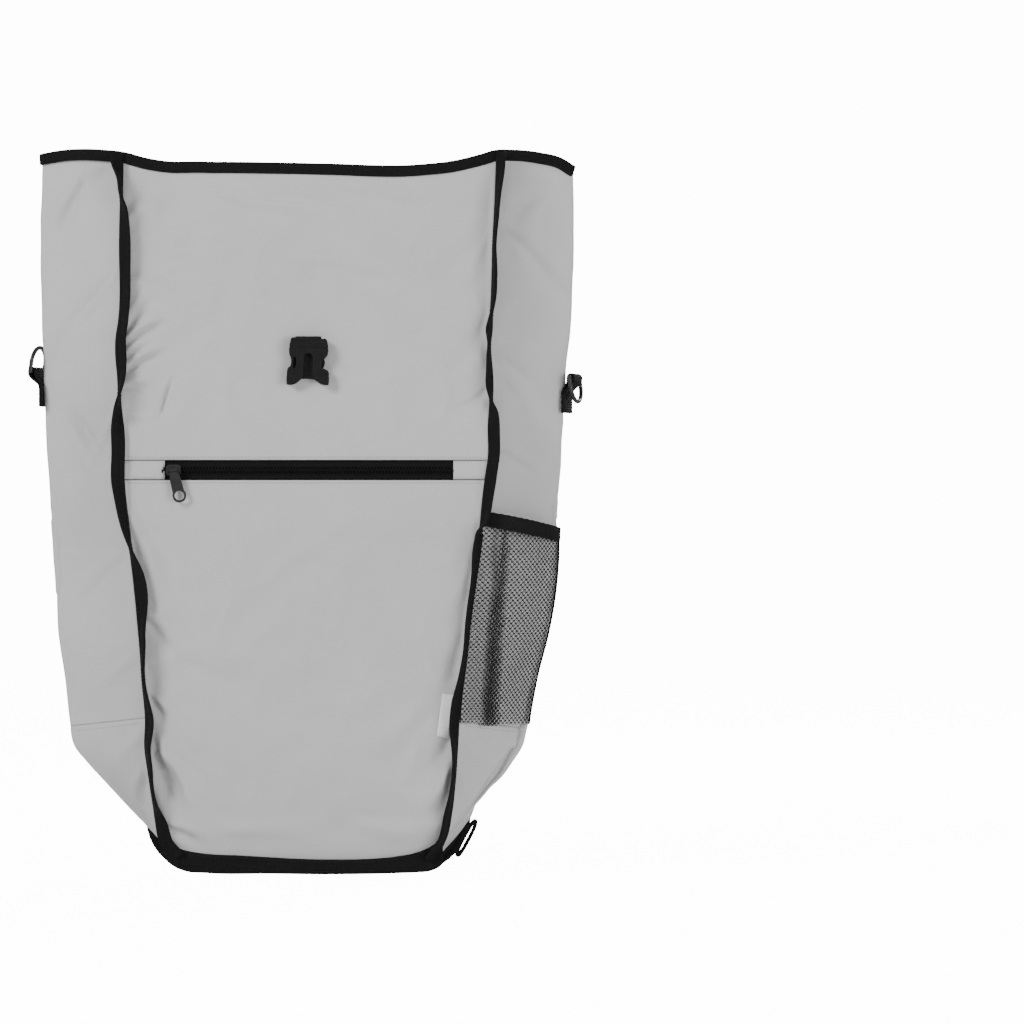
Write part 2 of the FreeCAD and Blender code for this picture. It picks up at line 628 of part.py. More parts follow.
def strap_section(y, z, wide, thick):
    """The webbing's section at one height, with its inner face at depth y."""
    return [(-wide, y, z), (wide, y, z), (wide, y + thick, z), (-wide, y + thick, z)]


def plug(z, y):
    """The plug half of the side-release buckle: a slotted frame, two sprung arms and a guide."""
    half = dim("socket_w") / 2
    frame = box((-half, y - 2.6, z - 16), (half, y + 3.0, z + 4.2))
    upright = [e for e in frame.Edges if abs(e.tangentAt(e.FirstParameter).y) > 0.9]
    frame = frame.makeFillet(3, upright)
    slots = [box((-13.1, y - 4, low), (13.1, y + 6, low + 4.6)) for low in (z - 4.3, z - 12.2)]
    guide = box((-2.4, y - 1.5, z - 42), (2.4, y + 1.5, z - 15))
    arms = []
    for side in (-1, 1):
        run = [(6.5, -15), (11.0, -15), (12.0, -27), (14.6, -31), (14.6, -35), (10.5, -42),
               (8.0, -42), (8.0, -27)]
        arms.append(prism([(side * a, y - 1.9, z + b) for a, b in run], (0, 4.0, 0)))
    bridge = box((-half + 2, y + 1.8, z + 3.4), (half - 2, y + 3.0, z + 4.2))
    return frame.cut(slots).fuse([guide, bridge] + arms).removeSplitter()


# ---------------------------------------------------------------- rack hooks
def build_rail():
    """The T-shaped rail, its end caps, and the bolts, sleeves and nuts that carry the load."""
    half, z, y = dim("rail_w") / 2, dim("rail_z"), dim("rail_y")
    tall, thick = dim("rail_h") / 2, dim("rail_t")
    section = [(y, z - 6), (y + thick, z - 6), (y + thick, z - tall), (y + 2 * thick, z - tall),
               (y + 2 * thick, z + tall), (y + thick, z + tall), (y + thick, z + 6), (y, z + 6)]
    rail = pad("rail_body", "YZ_Plane", polyline(section), "Dims.rail_w")
    doc.recompute()
    face = y + 2 * thick
    cuts = []
    for x, bolt_z in bolt_places()[:4]:
        cuts.append(rod(dim("bolt_r") + 0.1, 20, (x, y - 5, bolt_z), (0, 1, 0)))
        cuts.append(Part.makeCone(2.6, 5.2, 2.6, Vector(x, face - 2.6, bolt_z), Vector(0, 1, 0)))
    shape_node("hook_rail", rail.Shape.cut(cuts))
    caps = []
    for side in (-1, 1):
        x0, x1 = sorted((side * (half + 0.1), side * (half + 6)))
        cap = box((x0, y, z - tall - 1.5), (x1, face + 1.5, z + tall + 1.5))
        along = [e for e in cap.Edges if abs(e.tangentAt(e.FirstParameter).y) > 0.9]
        outer = [e for e in along if abs(e.CenterOfMass.x) > half + 3]
        caps.append(cap.makeFillet(3, outer))
    shape_node("rail_end_caps", Part.makeCompound(caps))
    build_fasteners(face)


def build_fasteners(face):
    """Countersunk rail bolts, lower hook bolts, sleeves inside the cover, and nuts on washers."""
    r, inside = dim("bolt_r"), dim("panel_y") - 1 - dim("board_t")
    bolts, sleeves, nuts = [], [], []
    cover_inside = dim("cover_y") - dim("cloth")
    panel_face = dim("panel_y") + dim("panel_t")
    for x, z in bolt_places()[:4]:
        shank = rod(r, face - inside + 4, (x, inside - 4.5, z), (0, 1, 0))
        head = Part.makeCone(2.5, 5.0, 2.5, Vector(x, face - 2.6, z), Vector(0, 1, 0))
        drive = rod(1.5, 2, (x, face - 1.6, z), (0, 1, 0))
        shank = shank.common(box((x - 9, 0, z - 9), (x + 9, face - 0.1, z + 9)))
        bolts.append(shank.fuse(head).cut(drive))
    plate_face = dim("rail_y") + 4
    for x, z in bolt_places()[4:]:
        shank = rod(r, plate_face - inside + 4.4, (x, inside - 4.5, z), (0, 1, 0))
        bolts.append(shank.cut(rod(1.5, 1.5, (x, plate_face - 1.4, z), (0, 1, 0))))
    for x, z in bolt_places():
        tube = rod(6, cover_inside - panel_face - 0.4, (x, panel_face + 0.2, z), (0, 1, 0))
        sleeves.append(tube.cut(rod(r + 0.1, 30, (x, 30, z), (0, 1, 0))))
        washer = rod(7, 1.0, (x, inside - 1.1, z), (0, 1, 0))
        nut = hexagon(4.6, 3.0, x, inside - 4.2, z)
        nuts.append(washer.fuse(nut).cut(rod(r + 0.05, 30, (x, 10, z), (0, 1, 0))))
    shape_node("hook_bolts", Part.makeCompound(bolts))
    shape_node("bolt_sleeves", Part.makeCompound(sleeves))
    shape_node("bolt_nuts", Part.makeCompound(nuts))


def hexagon(radius, thick, x, y, z):
    """A hexagonal prism along Y."""
    turns = [math.radians(60 * i) for i in range(6)]
    corners = [(x + radius * math.cos(a), y, z + radius * math.sin(a)) for a in turns]
    return prism(corners, (0, thick, 0))


def hook_profile():
    """The hook's side view: a sliding foot round the rail, a spine, and a round seat with a lip."""
    ty, tz, r = dim("tube_y"), dim("tube_z"), dim("seat_r")
    outer = r + dim("wall")
    spine, back = ty - r, ty - outer
    z0, tall = dim("rail_z"), dim("rail_h") / 2
    lip_in, lip_out = dim("rail_y") + 0.5, dim("rail_y") + dim("rail_t") - 0.3
    foot = 3.3
    return [line((spine, z0 - 19), (spine, tz)),
            arc((spine, tz), (ty, tz + r), (ty + r, tz)),
            line((ty + r, tz), (ty + r, tz - 8)),
            arc((ty + r, tz - 8), (ty + r + 2, tz - 10), (ty + outer, tz - 8)),
            line((ty + outer, tz - 8), (ty + outer, tz)),
            arc((ty + outer, tz), (ty, tz + outer), (back, tz)),
            line((back, tz), (back, z0 + tall + foot)),
            line((back, z0 + tall + foot), (lip_in, z0 + tall + foot)),
            line((lip_in, z0 + tall + foot), (lip_in, z0 + 6.4)),
            line((lip_in, z0 + 6.4), (lip_out, z0 + 6.4)),
            line((lip_out, z0 + 6.4), (lip_out, z0 + tall + 0.3)),
            line((lip_out, z0 + tall + 0.3), (back, z0 + tall + 0.3)),
            line((back, z0 + tall + 0.3), (back, z0 - tall - 0.3)),
            line((back, z0 - tall - 0.3), (lip_out, z0 - tall - 0.3)),
            line((lip_out, z0 - tall - 0.3), (lip_out, z0 - 6.4)),
            line((lip_out, z0 - 6.4), (lip_in, z0 - 6.4)),
            line((lip_in, z0 - 6.4), (lip_in, z0 - tall - foot)),
            line((lip_in, z0 - tall - foot), (back, z0 - tall - foot)),
            line((back, z0 - tall - foot), (back, z0 - 19)),
            line((back, z0 - 19), (spine, z0 - 19))]


def build_hooks():
    """Two rack hooks on the rail, each with a sprung latch on a pin and a clamping screw."""
    spine, outer = dim("tube_y") - dim("seat_r"), dim("tube_y") + dim("seat_r") + dim("wall")
    py, pz, pr = dim("pin_y"), dim("pin_z"), dim("pin_r")
    half, ear_t = dim("hook_w") / 2, dim("ear_t")
    screw_z = dim("rail_z") - 15.5
    for name, side in (("left", -1), ("right", 1)):
        x = side * dim("hook_x")
        blank = pad(f"hook_{name}_blank", "YZ_Plane", hook_profile(), "Dims.hook_w")
        blank.Placement.Base = Vector(x, 0, 0)
        doc.recompute()
        ear = [(outer - 1, pz + 13), (outer + 1, pz + 12), (py + 5.2, pz + 2), (py + 5.2, pz - 3),
               (py + 2.5, pz - 5.5), (py - 2.5, pz - 5.5), (outer - 1, pz + 2)]
        ears = [prism([(a, b, c) for b, c in ear], (ear_t, 0, 0))
                for a in (x - half, x + half - ear_t)]
        bore = rod(pr, dim("hook_w") + 2, (x - half - 1, py, pz), (1, 0, 0))
        screw_hole = rod(2.1, 12, (x, spine - 8, screw_z), (0, 1, 0))
        shape_node(f"hook_{name}", blank.Shape.fuse(ears).removeSplitter().cut([bore, screw_hole]))
        pin = part_object("Part::Cylinder", f"latch_pin_{name}_rod", Radius="Dims.pin_r - 0.03",
                          Height="Dims.hook_w")
        pin.Placement = Placement(Vector(x - half, py, pz), Rotation(Vector(0, 1, 0), 90))
        node(pin, f"latch_pin_{name}")
        screw = rod(3.8, 2.4, (x, spine + 0.1, screw_z), (0, 1, 0))
        screw = screw.fuse(rod(2.0, 4, (x, spine - 3.7, screw_z), (0, 1, 0)))
        cross = box((x - 2.4, spine + 1.5, screw_z - 0.5), (x + 2.4, spine + 4, screw_z + 0.5))
        shape_node(f"hook_screw_{name}", screw.cut(cross))
        build_latch(name, x)


def build_latch(name, x):
    """The latch: a hub on the pin, a nose that closes under the tube, a thumb tab and its spring."""
    py, pz, hub = dim("pin_y"), dim("pin_z"), 4.2
    top, under = pz + 0.5, pz - 3.8
    tip = dim("tube_y") - dim("seat_r") + 0.7
    outline = [line((py - hub - 0.6, top), (tip + 1.5, top)),
               arc((tip + 1.5, top), (tip, pz - 1), (tip + 1.5, pz - 2.6)),
               line((tip + 1.5, pz - 2.6), (py - 4, under)),
               line((py - 4, under), (py + 2, under)),
               line((py + 2, under), (py + 11, pz - 5.6)),
               arc((py + 11, pz - 5.6), (py + 12.6, pz - 4.6), (py + 11.4, pz - 3)),
               line((py + 11.4, pz - 3), (py + hub, pz)),
               arc((py + hub, pz), (py, pz + hub), (py - hub, pz)),
               line((py - hub, pz), (py - hub - 0.6, top))]
    room, coil = dim("hook_w") / 2 - dim("ear_t"), dim("spring_w")
    low, high = x - room + 0.4, x + room - coil - 0.4
    blank = pad(f"latch_{name}_blank", "YZ_Plane", outline,
                "Dims.hook_w - 2 * Dims.ear_t - Dims.spring_w - 0.8")
    blank.Placement.Base = Vector((low + high) / 2, 0, 0)
    doc.recompute()
    bore = rod(dim("pin_r") + 0.03, 32, (x - 16, py, pz), (1, 0, 0))
    shape_node(f"latch_{name}", blank.Shape.cut(bore))
    shape_node(f"latch_spring_{name}", torsion_spring(high + 0.3, py, pz))


def torsion_spring(x, y, z):
    """A few turns of wire round the latch pin, with one leg against the hook."""
    wire_r, mean_r, turns = 0.4, 3.0, 3
    pitch = (dim("spring_w") - 2 * wire_r - 0.4) / turns
    helix = Part.makeHelix(pitch, pitch * turns, mean_r)
    section = Part.Wire(Part.Circle(Vector(mean_r, 0, 0), Vector(0, 1, 0), wire_r).toShape())
    coil = Part.Wire(helix.Edges).makePipeShell([section], True, True)
    leg = rod(wire_r, 6, (mean_r, 0, 0), (0, -1, 0))
    end = Part.makeSphere(wire_r, Vector(mean_r, 0, 0))
    spring = coil.fuse([leg, end])
    spring.rotate(Vector(0, 0, 0), Vector(0, 1, 0), 90)
    spring.translate(Vector(x + wire_r + 0.2, y, z))
    return spring


def build_lower_hook():
    """The lower hook: a round base bolted to the panel and an arm that swivels on a screw."""
    z, r, y = dim("pivot_z"), dim("pivot_r"), dim("rail_y")
    base = rod(20, 4, (0, y, z), (0, 1, 0))
    rim = [e for e in base.Edges if abs(e.CenterOfMass.y - y - 4) < 0.01 and len(e.Vertexes) == 1]
    base = base.makeFillet(1.2, rim)
    holes = [rod(dim("bolt_r") + 0.1, 20, (x, y - 5, z), (0, 1, 0)) for x in (-12, 12)]
    shape_node("lower_hook_base", base.cut(holes + [rod(r, 20, (0, y - 5, z), (0, 1, 0))]))
    arm_y = y + 4.3
    plate = rounded_bar(60, 17, 4)
    plate.translate(Vector(21.5, arm_y + 2, z))
    post = box((43, arm_y, z - 6.5), (47.5, arm_y + 19, z + 6.5))
    finger = box((30, arm_y + 15, z - 6.5), (47.5, arm_y + 19, z + 6.5))
    claw = post.fuse(finger).removeSplitter()
    upright = [e for e in claw.Edges if abs(e.tangentAt(e.FirstParameter).z) > 0.9]
    outer = [e for e in upright if e.CenterOfMass.x > 47 and e.CenterOfMass.y > arm_y + 18]
    claw = claw.makeFillet(2.5, outer)
    arm = plate.fuse(claw).removeSplitter().cut(rod(r + 0.06, 30, (0, y, z), (0, 1, 0)))
    shape_node("lower_hook_arm", arm)
    head = rod(6.5, 3.6, (0, arm_y + 4.2, z), (0, 1, 0))
    rim = [e for e in head.Edges if abs(e.CenterOfMass.y - arm_y - 7.8) < 0.01 and len(e.Vertexes) == 1]
    head = head.makeFillet(1.2, rim)
    shank = rod(r - 0.02, arm_y + 4.4 - y, (0, y + 0.1, z), (0, 1, 0))
    socket = hexagon(2.4, 3, 0, arm_y + 6.0, z)
    shape_node("lower_hook_screw", head.fuse(shank).cut(socket))


# ---------------------------------------------------------------- build, check and write
def check_and_write():
    """Stops on any failed object or bad shape, then writes one STEP file for each sub-part."""
    doc.recompute()
    for obj in doc.Objects:
        if {"Invalid", "Error"} & set(obj.State):
            raise RuntimeError(f"{obj.Label} failed: {obj.State}")
    os.makedirs("parts", exist_ok=True)
    for obj in nodes:
        shape = obj.Shape
        if shape.isNull() or not shape.isValid() or not shape.Solids:
            raise RuntimeError(f"{obj.Label} has no valid solid")
        shape.exportStep(f"parts/{obj.Label}.step")
        print(f"{obj.Label}: {len(shape.Solids)} solid(s), {shape.Volume / 1000:.2f} cm3")
    print(len(nodes), "nodes")


build_shell()
build_roll_top()
build_back()
build_zip()
build_mesh_pocket()
build_rings()
build_lower_loops()
build_socket()
build_closure_strap()
build_rail()
build_hooks()
build_lower_hook()
check_and_write()
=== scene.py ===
"""Looks for the roll-top pannier: cloth, tapes, webbing, net and buckle round the fixed CAD frame.

Lengths in this script are millimetres in the bag's own terms: x to the right, y backwards from the
plane of the side creases, z up from the bag's lowest point. at() turns them into the row frame.
"""

import math

import bmesh
import bpy
import numpy as np
from mathutils import Matrix, Vector, noise
from mathutils.bvhtree import BVHTree


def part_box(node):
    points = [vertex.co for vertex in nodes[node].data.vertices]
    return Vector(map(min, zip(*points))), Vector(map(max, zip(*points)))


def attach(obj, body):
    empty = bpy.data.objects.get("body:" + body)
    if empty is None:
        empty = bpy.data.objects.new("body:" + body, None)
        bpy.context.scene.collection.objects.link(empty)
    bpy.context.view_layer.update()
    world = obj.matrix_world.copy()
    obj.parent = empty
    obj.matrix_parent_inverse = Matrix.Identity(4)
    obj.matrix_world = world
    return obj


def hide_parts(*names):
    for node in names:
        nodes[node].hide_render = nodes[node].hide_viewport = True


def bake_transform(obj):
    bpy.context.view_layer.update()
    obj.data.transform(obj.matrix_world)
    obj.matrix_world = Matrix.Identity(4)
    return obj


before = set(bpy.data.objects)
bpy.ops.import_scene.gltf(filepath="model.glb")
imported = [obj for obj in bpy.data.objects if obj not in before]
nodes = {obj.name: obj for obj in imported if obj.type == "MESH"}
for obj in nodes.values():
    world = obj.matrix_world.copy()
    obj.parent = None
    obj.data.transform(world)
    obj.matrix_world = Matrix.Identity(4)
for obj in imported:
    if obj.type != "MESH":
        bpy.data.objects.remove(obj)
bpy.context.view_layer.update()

MM = 0.001
FOOT_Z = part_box("seam_binding_bottom")[0].z
CREASE_Y = sum(corner.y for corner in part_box("d_ring_left")) / 2
OFFSET = np.array([0.0, CREASE_Y, FOOT_Z])


def at(x, y, z):
    """A point of the bag, in the row frame."""
    return Vector((x * MM, CREASE_Y + y * MM, FOOT_Z + z * MM))


def in_bag(node):
    """A CAD node's lowest and highest corners, in the bag's terms."""
    return [(np.array(corner) - OFFSET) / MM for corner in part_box(node)]


# ---------------------------------------------------------------- numbers and curves
def smooth(x, low, high):
    """0 at low, 1 at high, and a smooth step between."""
    t = np.clip((np.asarray(x, float) - low) / (high - low), 0, 1)
    return t * t * (3 - 2 * t)


def through(*points):
    """A smooth function through points (x, y)."""
    xs, ys = np.array(sorted(points), float).T
    slopes = np.gradient(ys, xs)

    def value(x):
        x = np.clip(np.asarray(x, float), xs[0], xs[-1])
        i = np.clip(np.searchsorted(xs, x) - 1, 0, len(xs) - 2)
        h = xs[i + 1] - xs[i]
        t = (x - xs[i]) / h
        return ((2 * t ** 3 - 3 * t ** 2 + 1) * ys[i] + (t ** 3 - 2 * t ** 2 + t) * h * slopes[i]
                + (3 * t ** 2 - 2 * t ** 3) * ys[i + 1] + (t ** 3 - t ** 2) * h * slopes[i + 1])
    return value


def spread(low, high, step):
    """Evenly spaced values from low to high, about step apart."""
    return np.linspace(low, high, max(2, int(round(abs(high - low) / step)) + 1))


def wobble(a, b, size, seed, turn=0.0):
    """Smooth noise, about -1 to 1; size is its wavelength along a and b, turned by an angle."""
    a, b = np.broadcast_arrays(np.asarray(a, float), np.asarray(b, float))
    c, s = math.cos(math.radians(turn)), math.sin(math.radians(turn))
    p, q = (a * c + b * s) / size[0], (b * c - a * s) / size[1]
    values = [noise.noise(Vector((u, v, seed * 7.31))) for u, v in zip(p.ravel(), q.ravel())]
    return 1.4 * np.reshape(values, a.shape)


def creases(a, b, lines):
    """Soft folds along lines: each is (a0, b0, a1, b1, half width, height)."""
    total = np.zeros(np.broadcast(a, b).shape)
    for a0, b0, a1, b1, width, height in lines:
        da, db = a1 - a0, b1 - b0
        along = ((a - a0) * da + (b - b0) * db) / (da * da + db * db)
        bow = 0.05 * math.hypot(da, db) * np.sin(np.clip(along, 0, 1) * 3.1)
        off = ((b - b0) * da - (a - a0) * db) / math.hypot(da, db) - bow
        taper = smooth(along, -0.4, 0.05) * (1 - smooth(along, 0.5, 1.15))
        near = off / (width * (0.6 + 0.6 * np.clip(along, 0, 1)))
        total += height * taper * (np.exp(-near ** 2) - 0.45 * np.exp(-(near - 1.7) ** 2))
    return total


def unit(v):
    """Vectors of length one."""
    return v / np.maximum(np.linalg.norm(v, axis=-1, keepdims=True), 1e-9)


def headings(path, closed=False):
    """The way a path runs at each of its points."""
    if closed:
        return unit(np.roll(path, -1, 0) - np.roll(path, 1, 0))
    return unit(np.gradient(path, axis=0))


def facing(way, points):
    """One direction, repeated for each of some points."""
    return np.repeat([np.array(way, float)], len(points), 0)


def lattice(rows, columns):
    """Places across a sheet, -1 to 1, and the heights of its rows, as grids."""
    return np.linspace(-1, 1, columns)[None, :], np.repeat(rows[:, None], columns, 1)


# ---------------------------------------------------------------- the bag's outline, as it hangs
# The photograph was taken from close by, so the front plane looks NEARER times as large as the
# plane of the side creases, about the point that the camera faces.
NEARER, EYE_X, EYE_Z, EYE_BACK = 1.0105, 191.8, 342.0, 4010
SIDES = ((-1, "left"), (1, "right"))


def as_seen(x, z):
    """Where a point of the front plane seems to be, in the plane of the side creases."""
    return (EYE_X + (np.asarray(x, float) - EYE_X) * NEARER,
            EYE_Z + (np.asarray(z, float) - EYE_Z) * NEARER)


def front_half(side, table):
    """The front plane's half width at a height, from a table of how it looks."""
    def value(z):
        return side * (EYE_X + (side * table(as_seen(0, z)[1]) - EYE_X) / NEARER)
    return value


# Each table pairs a height with a half width or a depth. The front's are as they look in the
# photograph, and front_half() undoes its perspective.
front_left = front_half(-1, through(
    (0, 112), (14, 121), (20, 126.5), (27, 134), (36, 138.5), (46, 140.4), (90, 146.4), (151, 149.5),
    (222, 158), (316, 167), (376, 173.5), (447, 176.5), (513, 175.5), (600, 176), (690, 176)))
front_right = front_half(1, through(
    (0, 112), (14, 116), (27, 124), (46, 130.6), (74, 134.8), (114, 138.6), (154, 141), (165, 141.8),
    (203, 146.6), (240, 150.4), (278, 155.6), (316, 161), (344, 163.4), (368, 166), (395, 169.4),
    (425, 169.8), (457, 171.8), (498, 170.4), (541, 172.4), (588, 174), (631, 175.8), (674, 177.6),
    (690, 178)))
crease_left = through(
    (10, 124), (17, 129.5), (24, 135), (34, 141.5), (46, 152), (63, 168), (92, 195.5), (109, 211),
    (121, 220.5), (126, 222.5), (145, 225), (184, 230), (222, 235), (281, 240), (335, 243.5), (382, 246),
    (435, 247), (485, 249), (523, 251), (570, 252), (668, 251), (690, 250))
crease_right = through(
    (10, 116), (32, 130), (46, 141), (55, 151.5), (60, 154.8), (75, 167.6), (86.5, 177.4), (89.5, 181),
    (109, 196), (121, 203.6), (139, 208.6), (154, 211), (191, 218), (226, 227), (266, 234), (308, 237),
    (339, 236), (372, 239), (419, 240.6), (476, 244), (523, 248), (579, 251), (657, 251), (690, 250))
rear_half = through(
    (10, 117), (46, 148), (140, 152), (381, 152), (427, 154), (545, 170), (663, 178), (690, 178))
front_y = through(
    (0, -34), (14, -34), (46, -36), (140, -40), (316, -42), (381, -42), (427, -40), (545, -34), (663, -24),
    (690, -22))
rear_y = through(
    (10, 35), (140, 35), (381, 35), (427, 35), (545, 31), (663, 22), (690, 20))
hem_top = through(
    (-251, 679), (-224, 683), (-191, 683), (-170, 681), (-148, 675), (-130, 672), (-97, 672), (21, 670),
    (105, 669), (133, 672), (162, 679), (176, 683), (192, 683), (218, 680), (240, 674), (251, 667))
FRONT, CREASE = {-1: front_left, 1: front_right}, {-1: crease_left, 1: crease_right}
HEM, TOP_ROW = 669.0, 664.0
ZIP_Z, ZIP_LOW, ZIP_HIGH = 381.0, 371.6, 390.4
SEAM_Z, FLOOR_Z = 140.0, 14
SEAM_OUT = 3.8


def seam_out(z):
    """How far the front's seams stand forward of its plane; less near the mouth."""
    return SEAM_OUT * (1 - 0.75 * smooth(z, 600, 655))


def hem_lift(x, z):
    """How far the mouth's uneven edge moves a point up; it fades out below the mouth."""
    return (hem_top(x) - HEM) * smooth(z, 545, HEM)


# Each fold of the front: its two ends (x, z) as they look, its half width and its height.
FRONT_FOLDS = [
    (-172, 500, -126, 521, 4, -4.6), (-172, 474, -130, 493, 3.6, -4.4), (-172, 488, -150, 498, 2.6, -3.0),
    (-172, 512, -143, 543, 5, -3.8), (-172, 460, -146, 456, 4, -3.0), (-170, 432, -138, 410, 4, -2.8),
    (-137, 439, -125, 469, 2.2, -3.2), (-170, 560, -112, 540, 8, 2.4), (-172, 612, -124, 640, 8, 2.8),
    (-92, 656, -46, 630, 6, -2.8), (-48, 631, 24, 620, 5, -2.2), (40, 642, 120, 620, 9, 2.2),
    (-124, 575, -30, 604, 11, 2.2), (10, 572, 130, 524, 12, -2.4), (60, 462, 146, 502, 12, 2.2),
    (168, 596, 118, 536, 8, 1.5), (168, 524, 126, 466, 8, -1.7), (168, 456, 134, 434, 5, -2.8),
    (-74, 432, -24, 404, 8, 1.6), (162, 346, 134, 246, 9, 3.0), (148, 230, 114, 148, 9, -2.6),
    (-164, 334, -134, 246, 9, 3.0), (-156, 244, -122, 196, 6, -2.6), (-151, 168, -134, 146, 4, -5.6),
    (-149, 119, -138, 99, 4.4, -6.0), (-143, 114, -124, 56, 9, -8.6), (-140, 96, -131, 70, 3.5, -2.6),
    (-122, 108, -88, 68, 12, 4.0), (-130, 44, -100, 26, 5, -5.2), (-88, 642, -52, 628, 4, -2.2),
    (-64, 42, 14, 32, 10, 2.0), (56, 46, 108, 30, 9, 2.4), (132, 96, 100, 56, 9, 3.8),
    (136, 132, 108, 92, 8, -3.2), (100, 154, 52, 116, 13, 2.0), (-104, 194, -30, 148, 18, -2.4),
    (14, 266, 96, 206, 18, 2.2), (-66, 334, 16, 298, 15, 1.6)]


def front_relief(x, z):
    """How far the front panel stands out of its plane, with the soft wrinkles of empty cloth."""
    left, right = x + front_left(z), front_right(z) - x
    edge = np.maximum(np.minimum(left, right), 0)
    crown = 2.6 + 3.6 * (1 - smooth(z, 150, 340)) * smooth(z, 14, 110)
    shape = crown * np.clip(1 - (x / 170.0) ** 2, 0, 1)
    soft = 3.4 * wobble(x, z, (170, 130), 1, 20) + 3.2 * wobble(x, z, (74, 90), 2, -25)
    patches = smooth(wobble(x, z, (120, 120), 5), -0.25, 0.5)
    crumple = patches * (1.7 - 3.8 * np.abs(wobble(x, z, (52, 42), 3, 35)))
    crumple = crumple + (0.8 - 2.1 * np.abs(wobble(x, z, (34, 44), 4, -40))) * (1 - 0.5 * patches)
    folds = creases(*as_seen(x, z), FRONT_FOLDS)
    pucker = 2.2 * wobble(x * 0.2, z, (30, 17), 6) * np.exp(-edge / 10) * smooth(edge, 0, 4)
    rise = np.where(left < right, 3.6, 2.2) * np.exp(-edge / 12.0)
    flat = smooth(np.abs(z - ZIP_Z), 9, 60)
    calm = 1 - 0.85 * np.exp(-((x / 42) ** 2 + ((z - 485) / 48) ** 2))
    loose = shape + flat * calm * (soft + crumple + folds)
    loose = np.clip(loose, -6.0, 8.0) * (0.3 + 0.7 * smooth(edge, 0, 9))
    relief = loose * (0.15 + 0.85 * flat) + (pucker + rise) * (0.3 + 0.7 * flat)
    relief = relief * (1 - 0.93 * smooth(z, 622, 662)) * (0.3 + 0.7 * smooth(z, 24, 56))
    return seam_out(z) + (relief - seam_out(z)) * smooth(edge, 0, 5)


def front_grid(rows, sag=0.0):
    """Points of the front panel at these heights, closer together near its edges."""
    columns, crowding = 176, 0.0315
    u = np.linspace(0, 1, columns)
    u = u - crowding * np.sin(2 * np.pi * u)
    z = np.repeat(rows[:, None], columns, 1)
    x = -front_left(z) + u[None, :] * (front_left(z) + front_right(z))
    y = front_y(z) - front_relief(x, z) - sag
    return np.stack([x, y, z + hem_lift(x, z)], -1)


def seam_height(side, t):
    """The height of the bottom seam, from the front corner (0) to the crease (1) and the rear (2)."""
    ends = (151, 141, 146) if side < 0 else (148, 139, 146)
    return np.interp(t, (0, 1, 2), ends)


# The same for each gusset, where an end's first number is its place across, 60 to a leaf.
GUSSET_FOLDS = {
    -1: [(5, 652, 30, 630, 5, -3.4), (30, 634, 44, 590, 5, -3.2), (6, 560, 50, 480, 6, 2.4),
         (4, 430, 40, 350, 6, 1.8), (34, 424, 6, 380, 6, -3.0), (5, 300, 44, 250, 5, -1.6),
         (2, 210, 40, 172, 5, 1.6), (6, 92, 30, 52, 7, -2.6), (12, 128, 44, 84, 8, 1.6),
         (70, 560, 100, 500, 7, 1.6), (76, 420, 110, 330, 7, -1.6), (72, 260, 104, 190, 7, 1.5)],
    1: [(6, 600, 52, 540, 6, 2.0), (4, 480, 44, 420, 6, -1.8), (3, 400, 40, 370, 5, 1.6),
        (40, 640, 14, 612, 5, -1.6), (2, 100, 26, 48, 4, 1.8), (6, 132, 34, 96, 6, -1.2),
        (70, 590, 104, 520, 7, -1.7), (76, 440, 108, 360, 7, 1.6), (72, 250, 100, 180, 7, -1.5)]}


def gusset_relief(side, t, z):
    """Wrinkles of a gusset, by its place across (0 to 2) and its height."""
    seed = 20 if side < 0 else 40
    across = t * 60
    soft = 3.6 * wobble(across, z, (52, 150), seed, 8) + 2.2 * wobble(across, z, (30, 70), seed + 1, -15)
    crumple = 0.9 - 2.2 * np.abs(wobble(across, z, (34, 46), seed + 2, 20))
    folds = 1.7 * creases(across, z, GUSSET_FOLDS[side])
    ends = smooth(t, 0, 0.2) * (1 - smooth(t, 1.88, 2.0)) * (1 - 0.9 * smooth(z, 622, 660))
    return (soft + crumple + folds) * ends


def doubled_edge(t, z):
    """The step back to the under layer, folded along the right gusset's lower edge."""
    line = np.interp(z, (30, 60, 86, 90, 121, 130), (44, 46, 50, 44, 50, 52)) / 60
    upper = smooth(z, 86.5, 89.5)
    step = smooth(t, line, line + 0.025) * (1 - smooth(t, 1.0, 1.06))
    return (3.2 + 1.0 * upper) * step * smooth(z, 34, 44) * (1 - smooth(z, 119, 122))


